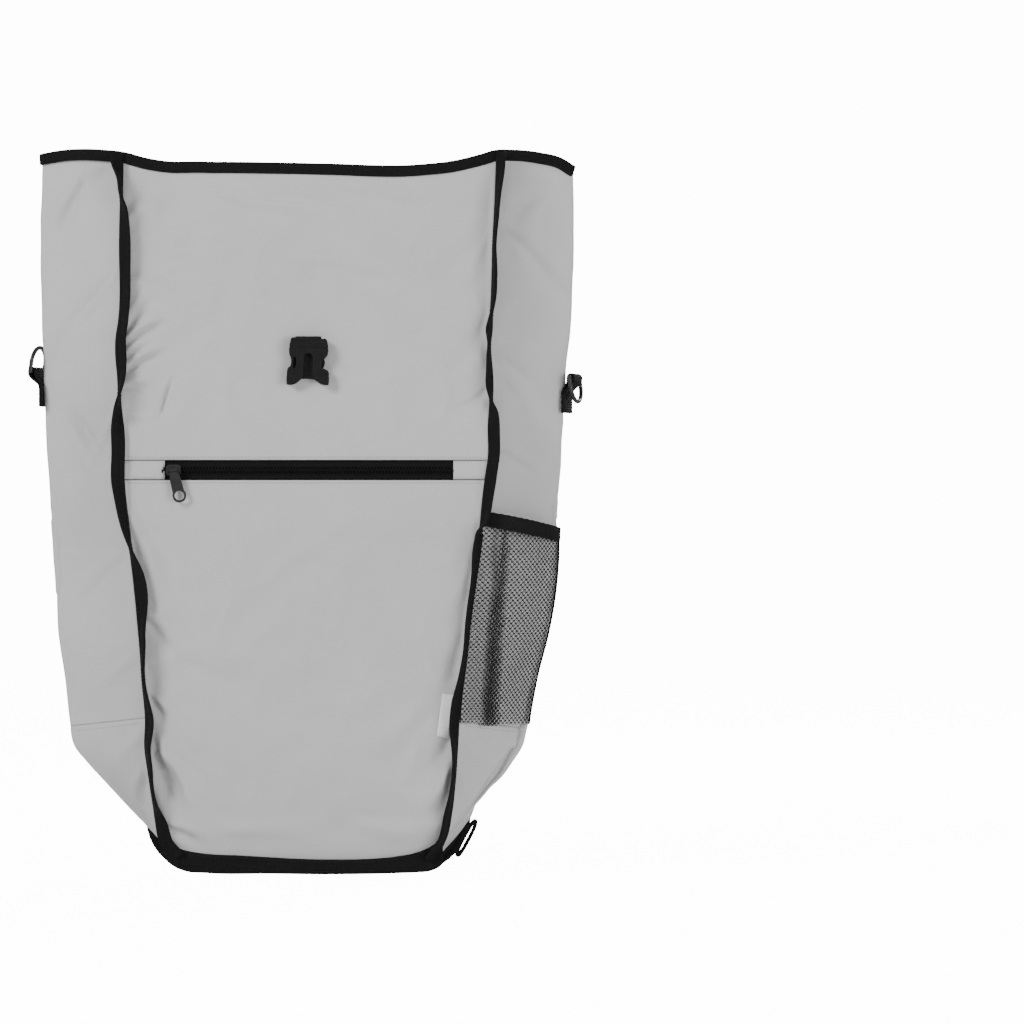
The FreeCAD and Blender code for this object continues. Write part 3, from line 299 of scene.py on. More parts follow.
def gusset_grid(side, rows, between, tuck=0.0):
    """Points of a gusset: a front leaf and a rear leaf that meet at the side crease.

    between moves each row's points up or down, to follow a slanted seam; tuck is how far each row
    lies inside the cloth below it."""
    columns = 101
    t = np.linspace(0, 2, columns)
    z = between(t[None, :], np.repeat(rows[:, None], columns, 1))
    tt = np.repeat(t[None, :], len(rows), 0)
    front, crease = FRONT[side], CREASE[side]
    low = smooth(z, 150, 40)
    fx, fy = front(z) + 0.4, front_y(z) - seam_out(z)
    cx, cy = crease(z), 0 * z
    rx, ry = rear_half(z), rear_y(z) + 0.9
    first = tt <= 1
    g = np.where(first, tt, tt - 1)
    ax, ay = np.where(first, fx, cx), np.where(first, fy, cy)
    bx, by = np.where(first, cx, rx), np.where(first, cy, ry)
    x, y = ax + (bx - ax) * g, ay + (by - ay) * g
    nx, ny = (by - ay), -(bx - ax)
    scale = np.hypot(nx, ny)
    nx, ny = nx / scale, ny / scale
    sag = -3.0 * np.sin(np.pi * g) * (1 - 0.6 * low) * (1 - 0.8 * smooth(z, 600, 660))
    sag = sag + gusset_relief(side, tt, z) - tuck
    x, y = x + nx * sag, y + ny * sag
    for _ in range(4):
        for field in (x, y):
            inner = (field[:, :-2] + 2 * field[:, 1:-1] + field[:, 2:]) / 4
            keep = np.abs(tt[:, 1:-1] - 1) > 0.07
            field[:, 1:-1] = np.where(keep, field[:, 1:-1], inner)
    if side > 0:
        y = y + doubled_edge(tt, z)
    return np.stack([side * x, y, z + hem_lift(side * x, z)], -1)


# ---------------------------------------------------------------- meshes
SHARP_ANGLE = 35
TAPE_STITCH = dict(pitch=3.4, length=2.6, radius=0.28)
CLOTH_STITCH = dict(pitch=3.2, length=2.5)


def add_object(name, points, faces, materials, slots=None, uv=None):
    """A mesh object from points in the bag's terms."""
    mesh = bpy.data.meshes.new(name)
    place = np.asarray(points, float) * MM + OFFSET
    mesh.from_pydata(place.tolist(), [], faces)
    for material in materials:
        mesh.materials.append(material)
    if slots is not None:
        mesh.polygons.foreach_set("material_index", np.asarray(slots, np.int32))
    if uv is not None:
        layer = mesh.uv_layers.new(name="cloth")
        corners = np.zeros(len(mesh.loops), np.int32)
        mesh.loops.foreach_get("vertex_index", corners)
        layer.data.foreach_set("uv", (np.asarray(uv, np.float32)[corners] * MM).ravel())
    mesh.shade_smooth()
    obj = bpy.data.objects.new(name, mesh)
    bpy.context.scene.collection.objects.link(obj)
    return obj


def grid_quads(rows, columns, start=0, flip=False, wrap=False):
    """Faces of a grid of points."""
    across = columns if wrap else columns - 1
    i, j = np.meshgrid(np.arange(rows - 1), np.arange(across), indexing="ij")
    k = (j + 1) % columns
    quads = np.stack([i * columns + j, i * columns + k, (i + 1) * columns + k, (i + 1) * columns + j], -1)
    quads = quads.reshape(-1, 4) + start
    return quads[:, ::-1] if flip else quads


def grid_normals(grid):
    """Unit normals of a grid of points."""
    down, across = np.gradient(grid, axis=0), np.gradient(grid, axis=1)
    return unit(np.cross(across, down))


def grid_uv(grid):
    """Lengths along a grid's rows and columns."""
    across = np.linalg.norm(np.diff(grid, axis=1), axis=-1)
    down = np.linalg.norm(np.diff(grid, axis=0), axis=-1)
    u = np.pad(np.cumsum(across, 1), ((0, 0), (1, 0)))
    v = np.pad(np.cumsum(down, 0), ((1, 0), (0, 0)))
    middle = u[:, u.shape[1] // 2][:, None]
    return np.stack([u - middle, v], -1)


def cloth(name, grids, thick, outward, materials):
    """Sheets of cloth with a real thickness: the outer face, the inner face and the cut edges.

    outward is a direction that the outer face looks along; the thickness goes the other way."""
    points, faces, slots, uvs = [], [], [], []
    start = 0
    for grid, out in zip(grids, outward):
        rows, columns = grid.shape[:2]
        normals = grid_normals(grid)
        flip = np.sum(normals * np.array(out)) < 0
        if flip:
            normals = -normals
        count = rows * columns
        points += [grid.reshape(-1, 3), (grid - normals * thick).reshape(-1, 3)]
        uv = grid_uv(grid).reshape(-1, 2)
        uvs += [uv, uv]
        outer = grid_quads(rows, columns, start, flip)
        inner = grid_quads(rows, columns, start + count, not flip)
        ring = np.concatenate([np.arange(columns), np.arange(1, rows) * columns + columns - 1,
                               (rows - 1) * columns + np.arange(columns - 2, -1, -1),
                               np.arange(rows - 2, 0, -1) * columns]) + start
        after = np.roll(ring, -1)
        rim = np.stack([ring, ring + count, after + count, after], -1)
        if flip:
            rim = rim[:, ::-1]
        faces += [outer, inner, rim]
        slots += [0] * len(outer) + [len(materials) - 1] * len(inner) + [0] * len(rim)
        start += 2 * count
    obj = add_object(name, np.concatenate(points), np.concatenate(faces).tolist(), materials, slots,
                     np.concatenate(uvs))
    return obj


def band(width, thick, round_off, low):
    """A flat strip's section, from low to low + width across and 0 to thick out, round edges."""
    r = thick * round_off
    ring = []
    for cx, cy, begin in ((low + r, r, 180), (low + width - r, r, 270), (low + width - r, thick - r, 0),
                          (low + r, thick - r, 90)):
        for step in (0, 30, 60, 90):
            a = math.radians(begin + step)
            ring.append((cx + r * math.cos(a), cy + r * math.sin(a)))
    return np.array(ring)


def centred(width, thick, round_off, low):
    """A flat strip's section, half of its thickness to each side of the path."""
    return band(width, thick, round_off, low) - np.array([0, thick / 2])


def sweep(name, path, across, out, section, material, closed=False, *, slot):
    """A section carried along a path; its two axes point along across and out at each point."""
    path, across, out = (np.asarray(v, float) for v in (path, across, out))
    section = np.asarray(section, float)
    if section.ndim == 2:
        section = np.repeat(section[None], len(path), 0)
    rings = path[:, None] + section[..., :1] * across[:, None] + section[..., 1:] * out[:, None]
    rows, count = rings.shape[:2]
    run = np.pad(np.cumsum(np.linalg.norm(np.diff(path, axis=0), axis=1)), (1, 0))
    uv = np.stack([section[..., 0], np.repeat(run[:, None], count, 1)], -1)
    if closed:
        rings, uv = np.concatenate([rings, rings[:1]]), np.concatenate([uv, uv[:1]])
        faces = grid_quads(rows + 1, count, wrap=True)
        faces = np.where(faces >= rows * count, faces - rows * count, faces).tolist()
        rings, uv = rings[:-1], uv[:-1]
    else:
        faces = grid_quads(rows, count, wrap=True).tolist()
        faces += [list(range(count))[::-1], list(range((rows - 1) * count, rows * count))]
    turned = np.sum(np.cross(section[0, 1] - section[0, 0], section[0, 2] - section[0, 1]))
    along = path[1] - path[0]
    if np.dot(np.cross(across[0], out[0]), along) * (1 if turned >= 0 else -1) < 0:
        faces = [face[::-1] for face in faces]
    obj = add_object(name, rings.reshape(-1, 3), faces, [material], None, uv.reshape(-1, 2))
    return obj


def resample(path, step):
    """Points along a path, evenly spaced."""
    path = np.asarray(path, float)
    run = np.pad(np.cumsum(np.linalg.norm(np.diff(path, axis=0), axis=1)), (1, 0))
    marks = spread(0, run[-1], step)
    return np.stack([np.interp(marks, run, path[:, k]) for k in range(3)], -1)


def rounded(points, steps, closed=False):
    """Corner-cut copies of a path, which round its corners."""
    path = np.asarray(points, float)
    for _ in range(steps):
        after = np.roll(path, -1, 0) if closed else path[1:]
        before = path if closed else path[:-1]
        cut = np.stack([before * 0.75 + after * 0.25, before * 0.25 + after * 0.75], 1).reshape(-1, 3)
        path = cut if closed else np.concatenate([path[:1], cut, path[-1:]])
    return path


def surface_of(obj):
    """A tree that rays are cast against."""
    verts = [v.co.copy() for v in obj.data.vertices]
    return BVHTree.FromPolygons(verts, [tuple(p.vertices) for p in obj.data.polygons])


def dropped(tree, points, direction):
    """Points moved along a direction on to a surface, with the surface's normals there."""
    way = Vector(direction).normalized()
    reach = 60.0
    places, normals = [], []
    for p in points:
        start = at(*p) - way * reach * MM
        hit, normal, _, _ = tree.ray_cast(start, way, 2 * reach * MM)
        if hit is None:
            continue
        places.append((np.array(hit) - OFFSET) / MM)
        normals.append(np.array(normal) if normal.dot(way) < 0 else -np.array(normal))
    return np.array(places), np.array(normals)


def stitch_row(places, normals, pitch=3.6, length=2.7, radius=0.32, lift=0.1):
    """Short round stitches along a path that lies on a surface, as points and faces."""
    run = np.pad(np.cumsum(np.linalg.norm(np.diff(places, axis=0), axis=1)), (1, 0))
    middles = np.arange(pitch * 0.5, run[-1], pitch)

    def on(marks, values):
        return np.stack([np.interp(marks, run, values[:, k]) for k in range(3)], -1)

    centre, normal = on(middles, places), unit(on(middles, normals))
    tangent = unit(on(middles + 0.5, places) - on(middles - 0.5, places))
    side = unit(np.cross(normal, tangent))
    rings = [(-0.5, 0.35, -0.7), (-0.36, 1.0, 0.0), (0.0, 1.08, 0.25), (0.36, 1.0, 0.0), (0.5, 0.35, -0.7)]
    turns = np.arange(6) * math.pi / 3
    local = np.array([(f * length, math.cos(a) * r * radius, math.sin(a) * r * radius + (d + lift) * radius)
                      for f, r, d in rings for a in turns])
    points = (centre[:, None] + local[None, :, :1] * tangent[:, None] + local[None, :, 1:2] * side[:, None]
              + local[None, :, 2:] * normal[:, None])
    quads = grid_quads(len(rings), 6, wrap=True)
    caps = [list(range(6))[::-1], list(range(24, 30))]
    faces = []
    for k in range(len(centre)):
        faces += (quads + k * 30).tolist() + [[i + k * 30 for i in cap] for cap in caps]
    return points.reshape(-1, 3), faces


def stitches(name, rows, material, body, slot, **style):
    """One object of several rows of stitches; each row is (points, normals)."""
    points, faces, start = [], [], 0
    for places, normals in rows:
        if len(places) < 2:
            continue
        made, quads = stitch_row(places, normals, **style)
        points.append(made)
        faces += [[i + start for i in face] for face in quads]
        start += len(made)
    obj = add_object(name, np.concatenate(points), faces, [material])
    if body:
        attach(obj, body)
    return obj


def plate(name, loops, back, front, bevel, material, turn, pivot):
    """A moulded plate in the x-z plane between two depths, with rounded rims; loops may hold holes."""
    curve = bpy.data.curves.new(name + "_line", "CURVE")
    curve.dimensions = "2D"
    curve.fill_mode = "BOTH"
    curve.extrude = max((back - front) / 2 - bevel, 0.05) * MM
    curve.bevel_depth = bevel * MM
    curve.bevel_resolution = 3
    curve.offset = -bevel * MM
    for loop in loops:
        spline = curve.splines.new("POLY")
        spline.points.add(len(loop) - 1)
        for point, (x, z) in zip(spline.points, loop):
            point.co = (x * MM, z * MM, 0, 1)
        spline.use_cyclic_u = True
    shape = bpy.data.objects.new(name + "_line", curve)
    bpy.context.scene.collection.objects.link(shape)
    bpy.context.view_layer.update()
    mesh = bpy.data.meshes.new_from_object(shape.evaluated_get(bpy.context.evaluated_depsgraph_get()))
    bpy.data.objects.remove(shape)
    centre = Vector((pivot[0] * MM, pivot[1] * MM, 0))
    spin = (Matrix.Translation(centre) @ Matrix.Rotation(math.radians(turn), 4, "Z")
            @ Matrix.Translation(-centre))
    stand = Matrix.Translation(at(0, (back + front) / 2, 0)) @ Matrix.Rotation(math.pi / 2, 4, "X")
    mesh.transform(stand @ spin)
    mesh.materials.clear()
    mesh.materials.append(material)
    mesh.shade_smooth()
    obj = bpy.data.objects.new(name, mesh)
    bpy.context.scene.collection.objects.link(obj)
    obj.data.set_sharp_from_angle(angle=math.radians(SHARP_ANGLE))
    return obj


def loop_round(points):
    """A closed outline (x, z) with its corners rounded."""
    path = rounded([(x, z, 0) for x, z in points], 1, closed=True)
    return [(p[0], p[1]) for p in path]


def joined(name, objects):
    """One object from several."""
    with bpy.context.temp_override(active_object=objects[0], object=objects[0],
                                   selected_objects=objects, selected_editable_objects=objects):
        bpy.ops.object.join()
    objects[0].name = name
    objects[0].data.name = name
    return objects[0]


# ---------------------------------------------------------------- materials
class Paint:
    """A material's node graph, with short ways to add and join nodes."""

    def __init__(self, name):
        self.material = bpy.data.materials.new(name)
        self.material.use_nodes = True
        self.tree = self.material.node_tree
        self.tree.nodes.clear()
        self.shader = self.add("ShaderNodeBsdfPrincipled")
        out = self.add("ShaderNodeOutputMaterial")
        self.join(self.shader.outputs[0], out.inputs[0])
        self.place = self.add("ShaderNodeTexCoord")

    def add(self, kind, **values):
        node = self.tree.nodes.new(kind)
        for key, value in values.items():
            setattr(node, key, value)
        return node

    def join(self, a, b):
        self.tree.links.new(a, b)

    def feed(self, value, socket):
        if hasattr(value, "is_output"):
            self.join(value, socket)
        else:
            socket.default_value = value

    def math(self, kind, a, b=0.0):
        node = self.add("ShaderNodeMath", operation=kind)
        self.feed(a, node.inputs[0])
        self.feed(b, node.inputs[1])
        return node.outputs[0]

    def noise(self, scale, detail=3.0, where=None, rough=0.5):
        node = self.add("ShaderNodeTexNoise")
        node.inputs["Scale"].default_value = scale
        node.inputs["Detail"].default_value = detail
        node.inputs["Roughness"].default_value = rough
        self.join(where or self.place.outputs["Object"], node.inputs["Vector"])
        return node.outputs[0]

    def ramp(self, value, low, high, to_low, to_high):
        node = self.add("ShaderNodeMapRange")
        self.feed(value, node.inputs[0])
        for socket, number in zip(node.inputs[1:5], (low, high, to_low, to_high)):
            socket.default_value = number
        return node.outputs[0]

    def mix(self, share, a, b):
        node = self.add("ShaderNodeMix", data_type="RGBA")
        self.feed(share, node.inputs[0])
        for value, socket in ((a, node.inputs[6]), (b, node.inputs[7])):
            self.feed(value if hasattr(value, "is_output") else (*value, 1.0), socket)
        return node.outputs[2]

    def bump(self, height, distance, strength=1.0):
        node = self.add("ShaderNodeBump")
        node.inputs["Strength"].default_value = strength
        node.inputs["Distance"].default_value = distance
        self.join(height, node.inputs["Height"])
        if self.shader.inputs["Normal"].links:
            self.join(self.shader.inputs["Normal"].links[0].from_socket, node.inputs["Normal"])
        self.join(node.outputs[0], self.shader.inputs["Normal"])

    def set(self, **values):
        names = {"rough": "Roughness", "metal": "Metallic", "sheen": "Sheen Weight",
                 "sheen_rough": "Sheen Roughness", "specular": "Specular IOR Level", "coat": "Coat Weight",
                 "coat_rough": "Coat Roughness"}
        for key, value in values.items():
            self.feed(value, self.shader.inputs[names[key]])
        return self


def shade(colour, factor):
    """A colour made lighter or darker."""
    return tuple(min(1.0, c * factor) for c in colour)


def threads(paint, pitch_u, pitch_v):
    """Waves of thread both ways, from lengths along the cloth."""
    split = paint.add("ShaderNodeSeparateXYZ")
    paint.join(paint.place.outputs["UV"], split.inputs[0])
    u, v = split.outputs[0], split.outputs[1]
    turn_u = paint.math("SINE", paint.math("MULTIPLY", u, 2 * math.pi / (pitch_u * MM)))
    turn_v = paint.math("SINE", paint.math("MULTIPLY", v, 2 * math.pi / (pitch_v * MM)))
    return turn_u, turn_v


def woven(name, colour, pitch=0.55, vary=0.07, rough=0.85, sheen=0.0, relief=0.00012, dirt=0.0):
    """A plain-weave cloth: crossing threads, uneven yarn, soft blotches and a slight sheen."""
    paint = Paint(name)
    turn_u, turn_v = threads(paint, 2 * pitch, 2 * pitch)
    weave = paint.math("MULTIPLY", turn_u, turn_v)
    blotch = paint.noise(7, 4)
    yarn = paint.noise(900, 2)
    tone = paint.mix(paint.ramp(blotch, 0.3, 0.7, 0, 1), shade(colour, 1 - vary), shade(colour, 1 + vary))
    tone = paint.mix(paint.ramp(weave, -1, 1, 0, 0.35), tone, shade(colour, 0.86))
    tone = paint.mix(paint.ramp(yarn, 0.35, 0.7, 0, 0.3), tone, shade(colour, 1.12))
    if dirt:
        worn = paint.noise(23, 6, rough=0.65)
        tone = paint.mix(paint.ramp(worn, 0.56, 0.75, 0, dirt), tone, shade(colour, 0.75))
    paint.join(tone, paint.shader.inputs["Base Color"])
    paint.set(rough=paint.ramp(blotch, 0.3, 0.7, rough - 0.07, rough + 0.07), sheen=sheen,
              sheen_rough=0.4, specular=0.15)
    paint.bump(weave, relief, 0.6)
    paint.bump(yarn, relief * 1.6, 0.35)
    return paint.material


def ribbed(name, colour, pitch, cross=0.7, vary=0.25, relief=0.00025):
    """Tape or webbing: ribs across, finer warp threads along, and a fuzz of lighter fibre."""
    paint = Paint(name)
    turn_u, turn_v = threads(paint, cross, pitch)
    rib = paint.math("ADD", turn_v, paint.math("MULTIPLY", turn_u, 0.45))
    fibre = paint.noise(1500, 2)
    wear = paint.noise(30, 5, rough=0.6)
    tone = paint.mix(paint.ramp(rib, -1.2, 1.2, 0, 1), shade(colour, 1 - vary), shade(colour, 1 + vary))
    tone = paint.mix(paint.ramp(fibre, 0.55, 0.8, 0, 0.35), tone, shade(colour, 2.6))
    tone = paint.mix(paint.ramp(wear, 0.55, 0.8, 0, 0.4), tone, shade(colour, 1.9))
    paint.join(tone, paint.shader.inputs["Base Color"])
    rough = 0.75
    paint.set(rough=paint.ramp(wear, 0.3, 0.7, rough - 0.08, rough + 0.1), specular=0.12)
    paint.bump(rib, relief, 0.8)
    return paint.material


def moulded(name, colour, rough, grain=1400, relief=0.00006, wear=0.3, specular=0.3):
    """Moulded plastic: a fine sparked grain, faint flow marks and paler worn patches."""
    paint = Paint(name)
    flow, fine, rubbed = paint.noise(45, 4), paint.noise(grain, 3), paint.noise(260, 5, rough=0.6)
    tone = paint.mix(paint.ramp(flow, 0.3, 0.7, 0, 1), shade(colour, 0.85), shade(colour, 1.2))
    tone = paint.mix(paint.ramp(rubbed, 0.58, 0.78, 0, wear), tone, shade(colour, 2.4))
    paint.join(tone, paint.shader.inputs["Base Color"])
    paint.set(rough=paint.ramp(rubbed, 0.3, 0.7, rough - 0.06, rough + 0.12), specular=specular)
    paint.bump(fine, relief, 0.5)
    return paint.material


def metal(name, colour, rough, metallic, coat=0.0):
    """Painted or plated metal: fine scratches, small pits and an uneven gloss."""
    paint = Paint(name)
    scale = paint.add("ShaderNodeMapping")
    scale.inputs["Scale"].default_value = (1.0, 1.0, 0.08)
    paint.join(paint.place.outputs["Object"], scale.inputs[0])
    lines = paint.noise(1200, 3, scale.outputs[0])
    cloud, pits = paint.noise(60, 4), paint.noise(800, 4)
    tone = paint.mix(paint.ramp(cloud, 0.3, 0.7, 0, 1), shade(colour, 0.86), shade(colour, 1.12))
    tone = paint.mix(paint.ramp(lines, 0.62, 0.75, 0, 0.4), tone, shade(colour, 1.7))
    paint.join(tone, paint.shader.inputs["Base Color"])
    paint.set(rough=paint.ramp(cloud, 0.3, 0.7, rough - 0.05, rough + 0.1), metal=metallic, coat=coat,
              coat_rough=0.2)
    paint.bump(pits, 0.00003, 0.4)
    paint.bump(lines, 0.00002, 0.4)
    return paint.material


GREY = (0.57, 0.57, 0.567)
grey_cloth = woven("grey_cloth", GREY, vary=0.03, sheen=0.08, dirt=0.12)
lining_cloth = woven("lining_cloth", (0.06, 0.06, 0.062), pitch=0.5, rough=0.6)
black_cloth = woven("black_cloth", (0.014, 0.014, 0.015), pitch=0.6, vary=0.2, relief=0.00016)
tape_black = ribbed("tape_black", (0.009, 0.009, 0.0095), pitch=1.1)
webbing_black = ribbed("webbing_black", (0.012, 0.012, 0.0125), pitch=1.7, cross=1.4, relief=0.0004)
elastic_black = ribbed("elastic_black", (0.011, 0.011, 0.0115), pitch=0.9, cross=1.6)
zip_cloth = ribbed("zip_cloth", (0.009, 0.009, 0.0095), pitch=0.8, cross=1.3, relief=0.00018)
pad_cloth = woven("pad_cloth", (0.013, 0.013, 0.0135), pitch=0.8, vary=0.2, relief=0.0002)
net_yarn = ribbed("net_yarn", (0.013, 0.013, 0.0135), pitch=0.6, cross=0.6, relief=0.0001)
coil_nylon = moulded("coil_nylon", (0.006, 0.006, 0.0062), rough=0.6, wear=0.1, specular=0.12)
label_satin = woven("label_satin", (0.99, 0.99, 0.985), pitch=0.3, vary=0.02, rough=0.5, sheen=0.3)
grey_thread = ribbed("grey_thread", (0.4, 0.4, 0.397), pitch=0.5, cross=0.4, vary=0.06, relief=0.0001)
black_thread = ribbed("black_thread", (0.014, 0.014, 0.0145), pitch=0.5, cross=0.4, relief=0.0001)
buckle_plastic = moulded("buckle_plastic", (0.0085, 0.0085, 0.0088), rough=0.5, specular=0.16)
# A darker copy of buckle_plastic: painted shade for the socket's back plate and inner rails, which lie in
# shadow inside the socket.
buckle_inside = moulded("buckle_inside", (0.006, 0.006, 0.0062), rough=0.6, wear=0.0)
hook_plastic = moulded("hook_plastic", (0.02, 0.02, 0.0205), rough=0.5, grain=900, relief=0.0001)
board_plastic = moulded("board_plastic", (0.07, 0.07, 0.074), rough=0.5)
enamel = metal("enamel", (0.01, 0.01, 0.0104), 0.42, 0.0, coat=0.08)
plated = metal("plated", (0.55, 0.55, 0.56), 0.3, 1.0)

CAD_MATERIALS = {
    enamel: ("d_ring_left", "d_ring_right", "zip_slider", "zip_pull"),
    hook_plastic: ("hook_rail", "rail_end_caps", "hook_left", "hook_right", "latch_left", "latch_right",
                   "lower_hook_base", "lower_hook_arm"),
    plated: ("hook_bolts", "bolt_sleeves", "bolt_nuts", "latch_pin_left", "latch_pin_right",
             "hook_screw_left", "hook_screw_right", "latch_spring_left", "latch_spring_right",
             "lower_hook_screw"),
    board_plastic: ("stiffener_board", "mouth_stiffener"),
    buckle_plastic: ("buckle_plug",),
}
for finish, names in CAD_MATERIALS.items():
    for node_name in names:
        nodes[node_name].data.materials.clear()
        nodes[node_name].data.materials.append(finish)


# ---------------------------------------------------------------- cloth body
OUT_FRONT, OUT_BACK, TO_RIGHT = (0, -1, 0), (0, 1, 0), (1, 0, 0)
GREY_SKIN = [grey_cloth]
CLOTH_T = 1.2

lower_rows = spread(17, ZIP_LOW, 2.5)
front_lower = cloth("front_cloth_lower", [front_grid(lower_rows)], CLOTH_T, [OUT_FRONT], GREY_SKIN)
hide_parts("front_panel_lower")
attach(front_lower, "bag")

upper_rows = spread(ZIP_HIGH, TOP_ROW, 2.4)
front_upper = cloth("front_cloth_upper", [front_grid(upper_rows, 0.5)], CLOTH_T, [OUT_FRONT], GREY_SKIN)
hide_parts("front_panel_upper", "roll_top_front")
upper_tree, lower_tree = surface_of(front_upper), surface_of(front_lower)
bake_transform(front_upper)

tab_z = spread(ZIP_LOW + 0.8, ZIP_HIGH - 0.6, 4)
tabs = []
for side, edge in ((-1, front_left), (1, front_right)):
    inner = 131.2 if side < 0 else 137.2
    share = np.linspace(0, 1, 12)[None, :]
    z = np.repeat(tab_z[:, None], 12, 1)
    x = side * (inner + share * (edge(z) - inner))
    y = front_y(z) - front_relief(x, z) + 0.5
    tabs.append(np.stack([x, y, z], -1))
end_tabs = cloth("zip_end_cloth", tabs, 1.0, [OUT_FRONT] * 2, GREY_SKIN)
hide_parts("zip_end_tabs")
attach(end_tabs, "bag")

for side, name in SIDES:
    def above_seam(t, z, side=side):
        """Lets the lowest rows follow the slanted bottom seam."""
        return z + (seam_height(side, t) + 0.3 - SEAM_Z) * (1 - smooth(z, SEAM_Z, 260))

    rows = np.concatenate([[SEAM_Z - 3.0, SEAM_Z - 0.5, SEAM_Z, SEAM_Z + 0.9],
                           spread(SEAM_Z + 3, TOP_ROW, 4.4)])
    tucked = 1.5 * smooth(rows, SEAM_Z, SEAM_Z - 0.5)[:, None]
    grid = gusset_grid(side, rows, above_seam, tucked)
    gusset = cloth(f"gusset_cloth_{name}", [grid], CLOTH_T, [(side, -0.3, 0)], GREY_SKIN)
    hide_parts(f"gusset_{name}", f"roll_top_gusset_{name}")
    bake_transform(gusset)


def below_seam(side):
    """Rows of the bottom gusset, between the floor and the slanted seam."""
    def place(t, z):
        share = (z - FLOOR_Z) / (SEAM_Z - FLOOR_Z)
        return FLOOR_Z + share * (seam_height(side, t) - 0.3 - FLOOR_Z)
    return place


bottom_sides = [gusset_grid(side, spread(FLOOR_Z, SEAM_Z, 2.6), below_seam(side)) for side, _ in SIDES]
floor_v = np.linspace(0, 1, 15)[:, None]
floor_u = np.linspace(-1, 1, 50)[None, :]
floor_y = -37 + 70 * floor_v + 0 * floor_u
floor_half = np.interp(floor_y, (-34, 0, 35), (119, 125, 117))
floor_x = floor_half * floor_u
floor_z = (13.4 - 2.2 * np.cos(floor_u * 1.5) * np.sin(np.pi * floor_v)
           + 0.7 * wobble(floor_x, floor_y, (60, 40), 60))
floor_grid = np.stack([floor_x, floor_y, floor_z], -1)
bottom = cloth("bottom_cloth", bottom_sides + [floor_grid], CLOTH_T,
               [(-1, -0.3, 0), (1, -0.3, 0), (0, 0, -1)], GREY_SKIN)
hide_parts("bottom_gusset")
bottom_tree = surface_of(bottom)
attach(bottom, "bag")


def rear_relief(x, z):
    """Wrinkles of the rear wall; it lies flat where the closure strap is sewn down."""
    strap = 1 - np.exp(-(x / 26.0) ** 4) * smooth(z, 455, 475) * (1 - smooth(z, 545, 570))
    free = smooth(z, 430, 462) * smooth(rear_half(z) - np.abs(x), 0, 12)
    return strap * free * (1.5 * wobble(x, z, (150, 110), 71, 15) + 0.9 * wobble(x, z, (60, 50), 72, -30)
                           + 0.7 - 1.3 * np.abs(wobble(x, z, (45, 38), 73, 30)))


u, z = lattice(spread(427.6, TOP_ROW, 4.6), 84)
x = u * (rear_half(z) + 0.3)
y = rear_y(z) + 1.6 + np.clip(rear_relief(x, z), -2.5, 2.5)
rear = cloth("rear_cloth", [np.stack([x, y, z + hem_lift(x, z) * 0.8], -1)], CLOTH_T, [OUT_BACK], GREY_SKIN)
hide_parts("rear_upper_panel", "roll_top_rear")
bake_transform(rear)


# ---------------------------------------------------------------- bound seams and hems
# ROOT is where a bound seam leaves the cloth, and LEAN how many degrees it leans, by height.
ROOT_LEFT = front_half(-1, through(
    (14, 124), (20, 130.5), (27, 137), (36, 140.4), (43, 141.6), (66, 144.4), (81, 146.4), (100, 149.5),
    (120, 152.2), (147, 151.6), (175, 153.7), (222, 157.3), (316, 167), (370, 172.6), (413, 172.6),
    (447, 176.8), (470, 178.0), (487, 179.8), (505, 179.8), (520, 177.6), (600, 177.0), (640, 176.2),
    (665, 175.6), (690, 175.6)))
ROOT_RIGHT = front_half(1, through(
    (14, 117), (20, 121), (34, 128.7), (60, 134.4), (90, 137.6), (113, 139.3), (143, 141.1), (165, 142.2),
    (203, 147.3), (240, 151.1), (278, 156.3), (316, 161.8), (330, 163), (342, 163.8), (353, 164.8),
    (375, 167.5), (395, 170.4), (423, 170.2), (440, 171.6), (457, 173.1), (475, 172.5), (499, 170.6),
    (513, 172.3), (529, 172.5), (541, 173.1), (562, 173.8), (597, 174.8), (631, 176.6), (666, 177.7),
    (690, 178)))
LEAN_LEFT = through(
    (18, 78), (30, 80), (43, 72), (66, 18), (82, 6), (100, 16), (120, 24), (147, 36), (160, 26), (175, 12),
    (222, 22), (280, 60), (302, 12), (335, -30), (372, -66), (413, -72), (436, -30), (452, 4), (470, 34),
    (487, 48), (507, 48), (521, 46), (612, 46), (628, 30), (639, 4), (656, -18), (672, -58), (690, -70))
LEAN_RIGHT = through(
    (18, 40), (34, 28), (60, 25), (90, 8), (113, 12), (128, 24), (143, 37), (152, 34), (165, 27),
    (185, 12), (203, 7), (240, 8), (278, 10), (316, 21), (324, 14), (332, -20), (342, -38), (353, -47),
    (395, -50), (423, -52), (436, -34), (446, 0), (457, 23), (475, 20), (487, 10), (499, 2), (513, 20),
    (522, 10), (529, -2), (541, -13), (562, -13), (597, -7), (631, -15), (648, -22), (666, -34),
    (690, -40))


RIBBON_W, RIBBON_T = 13.2, 3.1


def bound_seam(name, side, rows, lean):
    """The bound edge that stands proud along a front corner and leans to and fro."""
    half = ROOT_LEFT if side < 0 else ROOT_RIGHT
    y = front_y(rows) - 4.8
    z = rows + hem_lift(side * half(rows), rows)
    tilt = np.radians(lean(as_seen(0, z)[1]) + 4 * wobble(rows, 0 * rows, (34, 1), 80 + side))
    root = np.stack([side * half(z), y, z], -1)
    away = np.stack([-side * np.sin(tilt), -np.cos(tilt), 0 * tilt], -1)
    along = headings(root)
    away = unit(away - along * np.sum(away * along, -1, keepdims=True))
    face = np.cross(along, away)
    section = centred(RIBBON_W, RIBBON_T, 0.42, -1.0)
    wide = 1 + 0.04 * wobble(rows, 0 * rows, (26, 1), 90 + side)
    ribbon = sweep(name, root, away * wide[:, None], face, section, tape_black, slot="black_tape")
    return ribbon, root, away, face


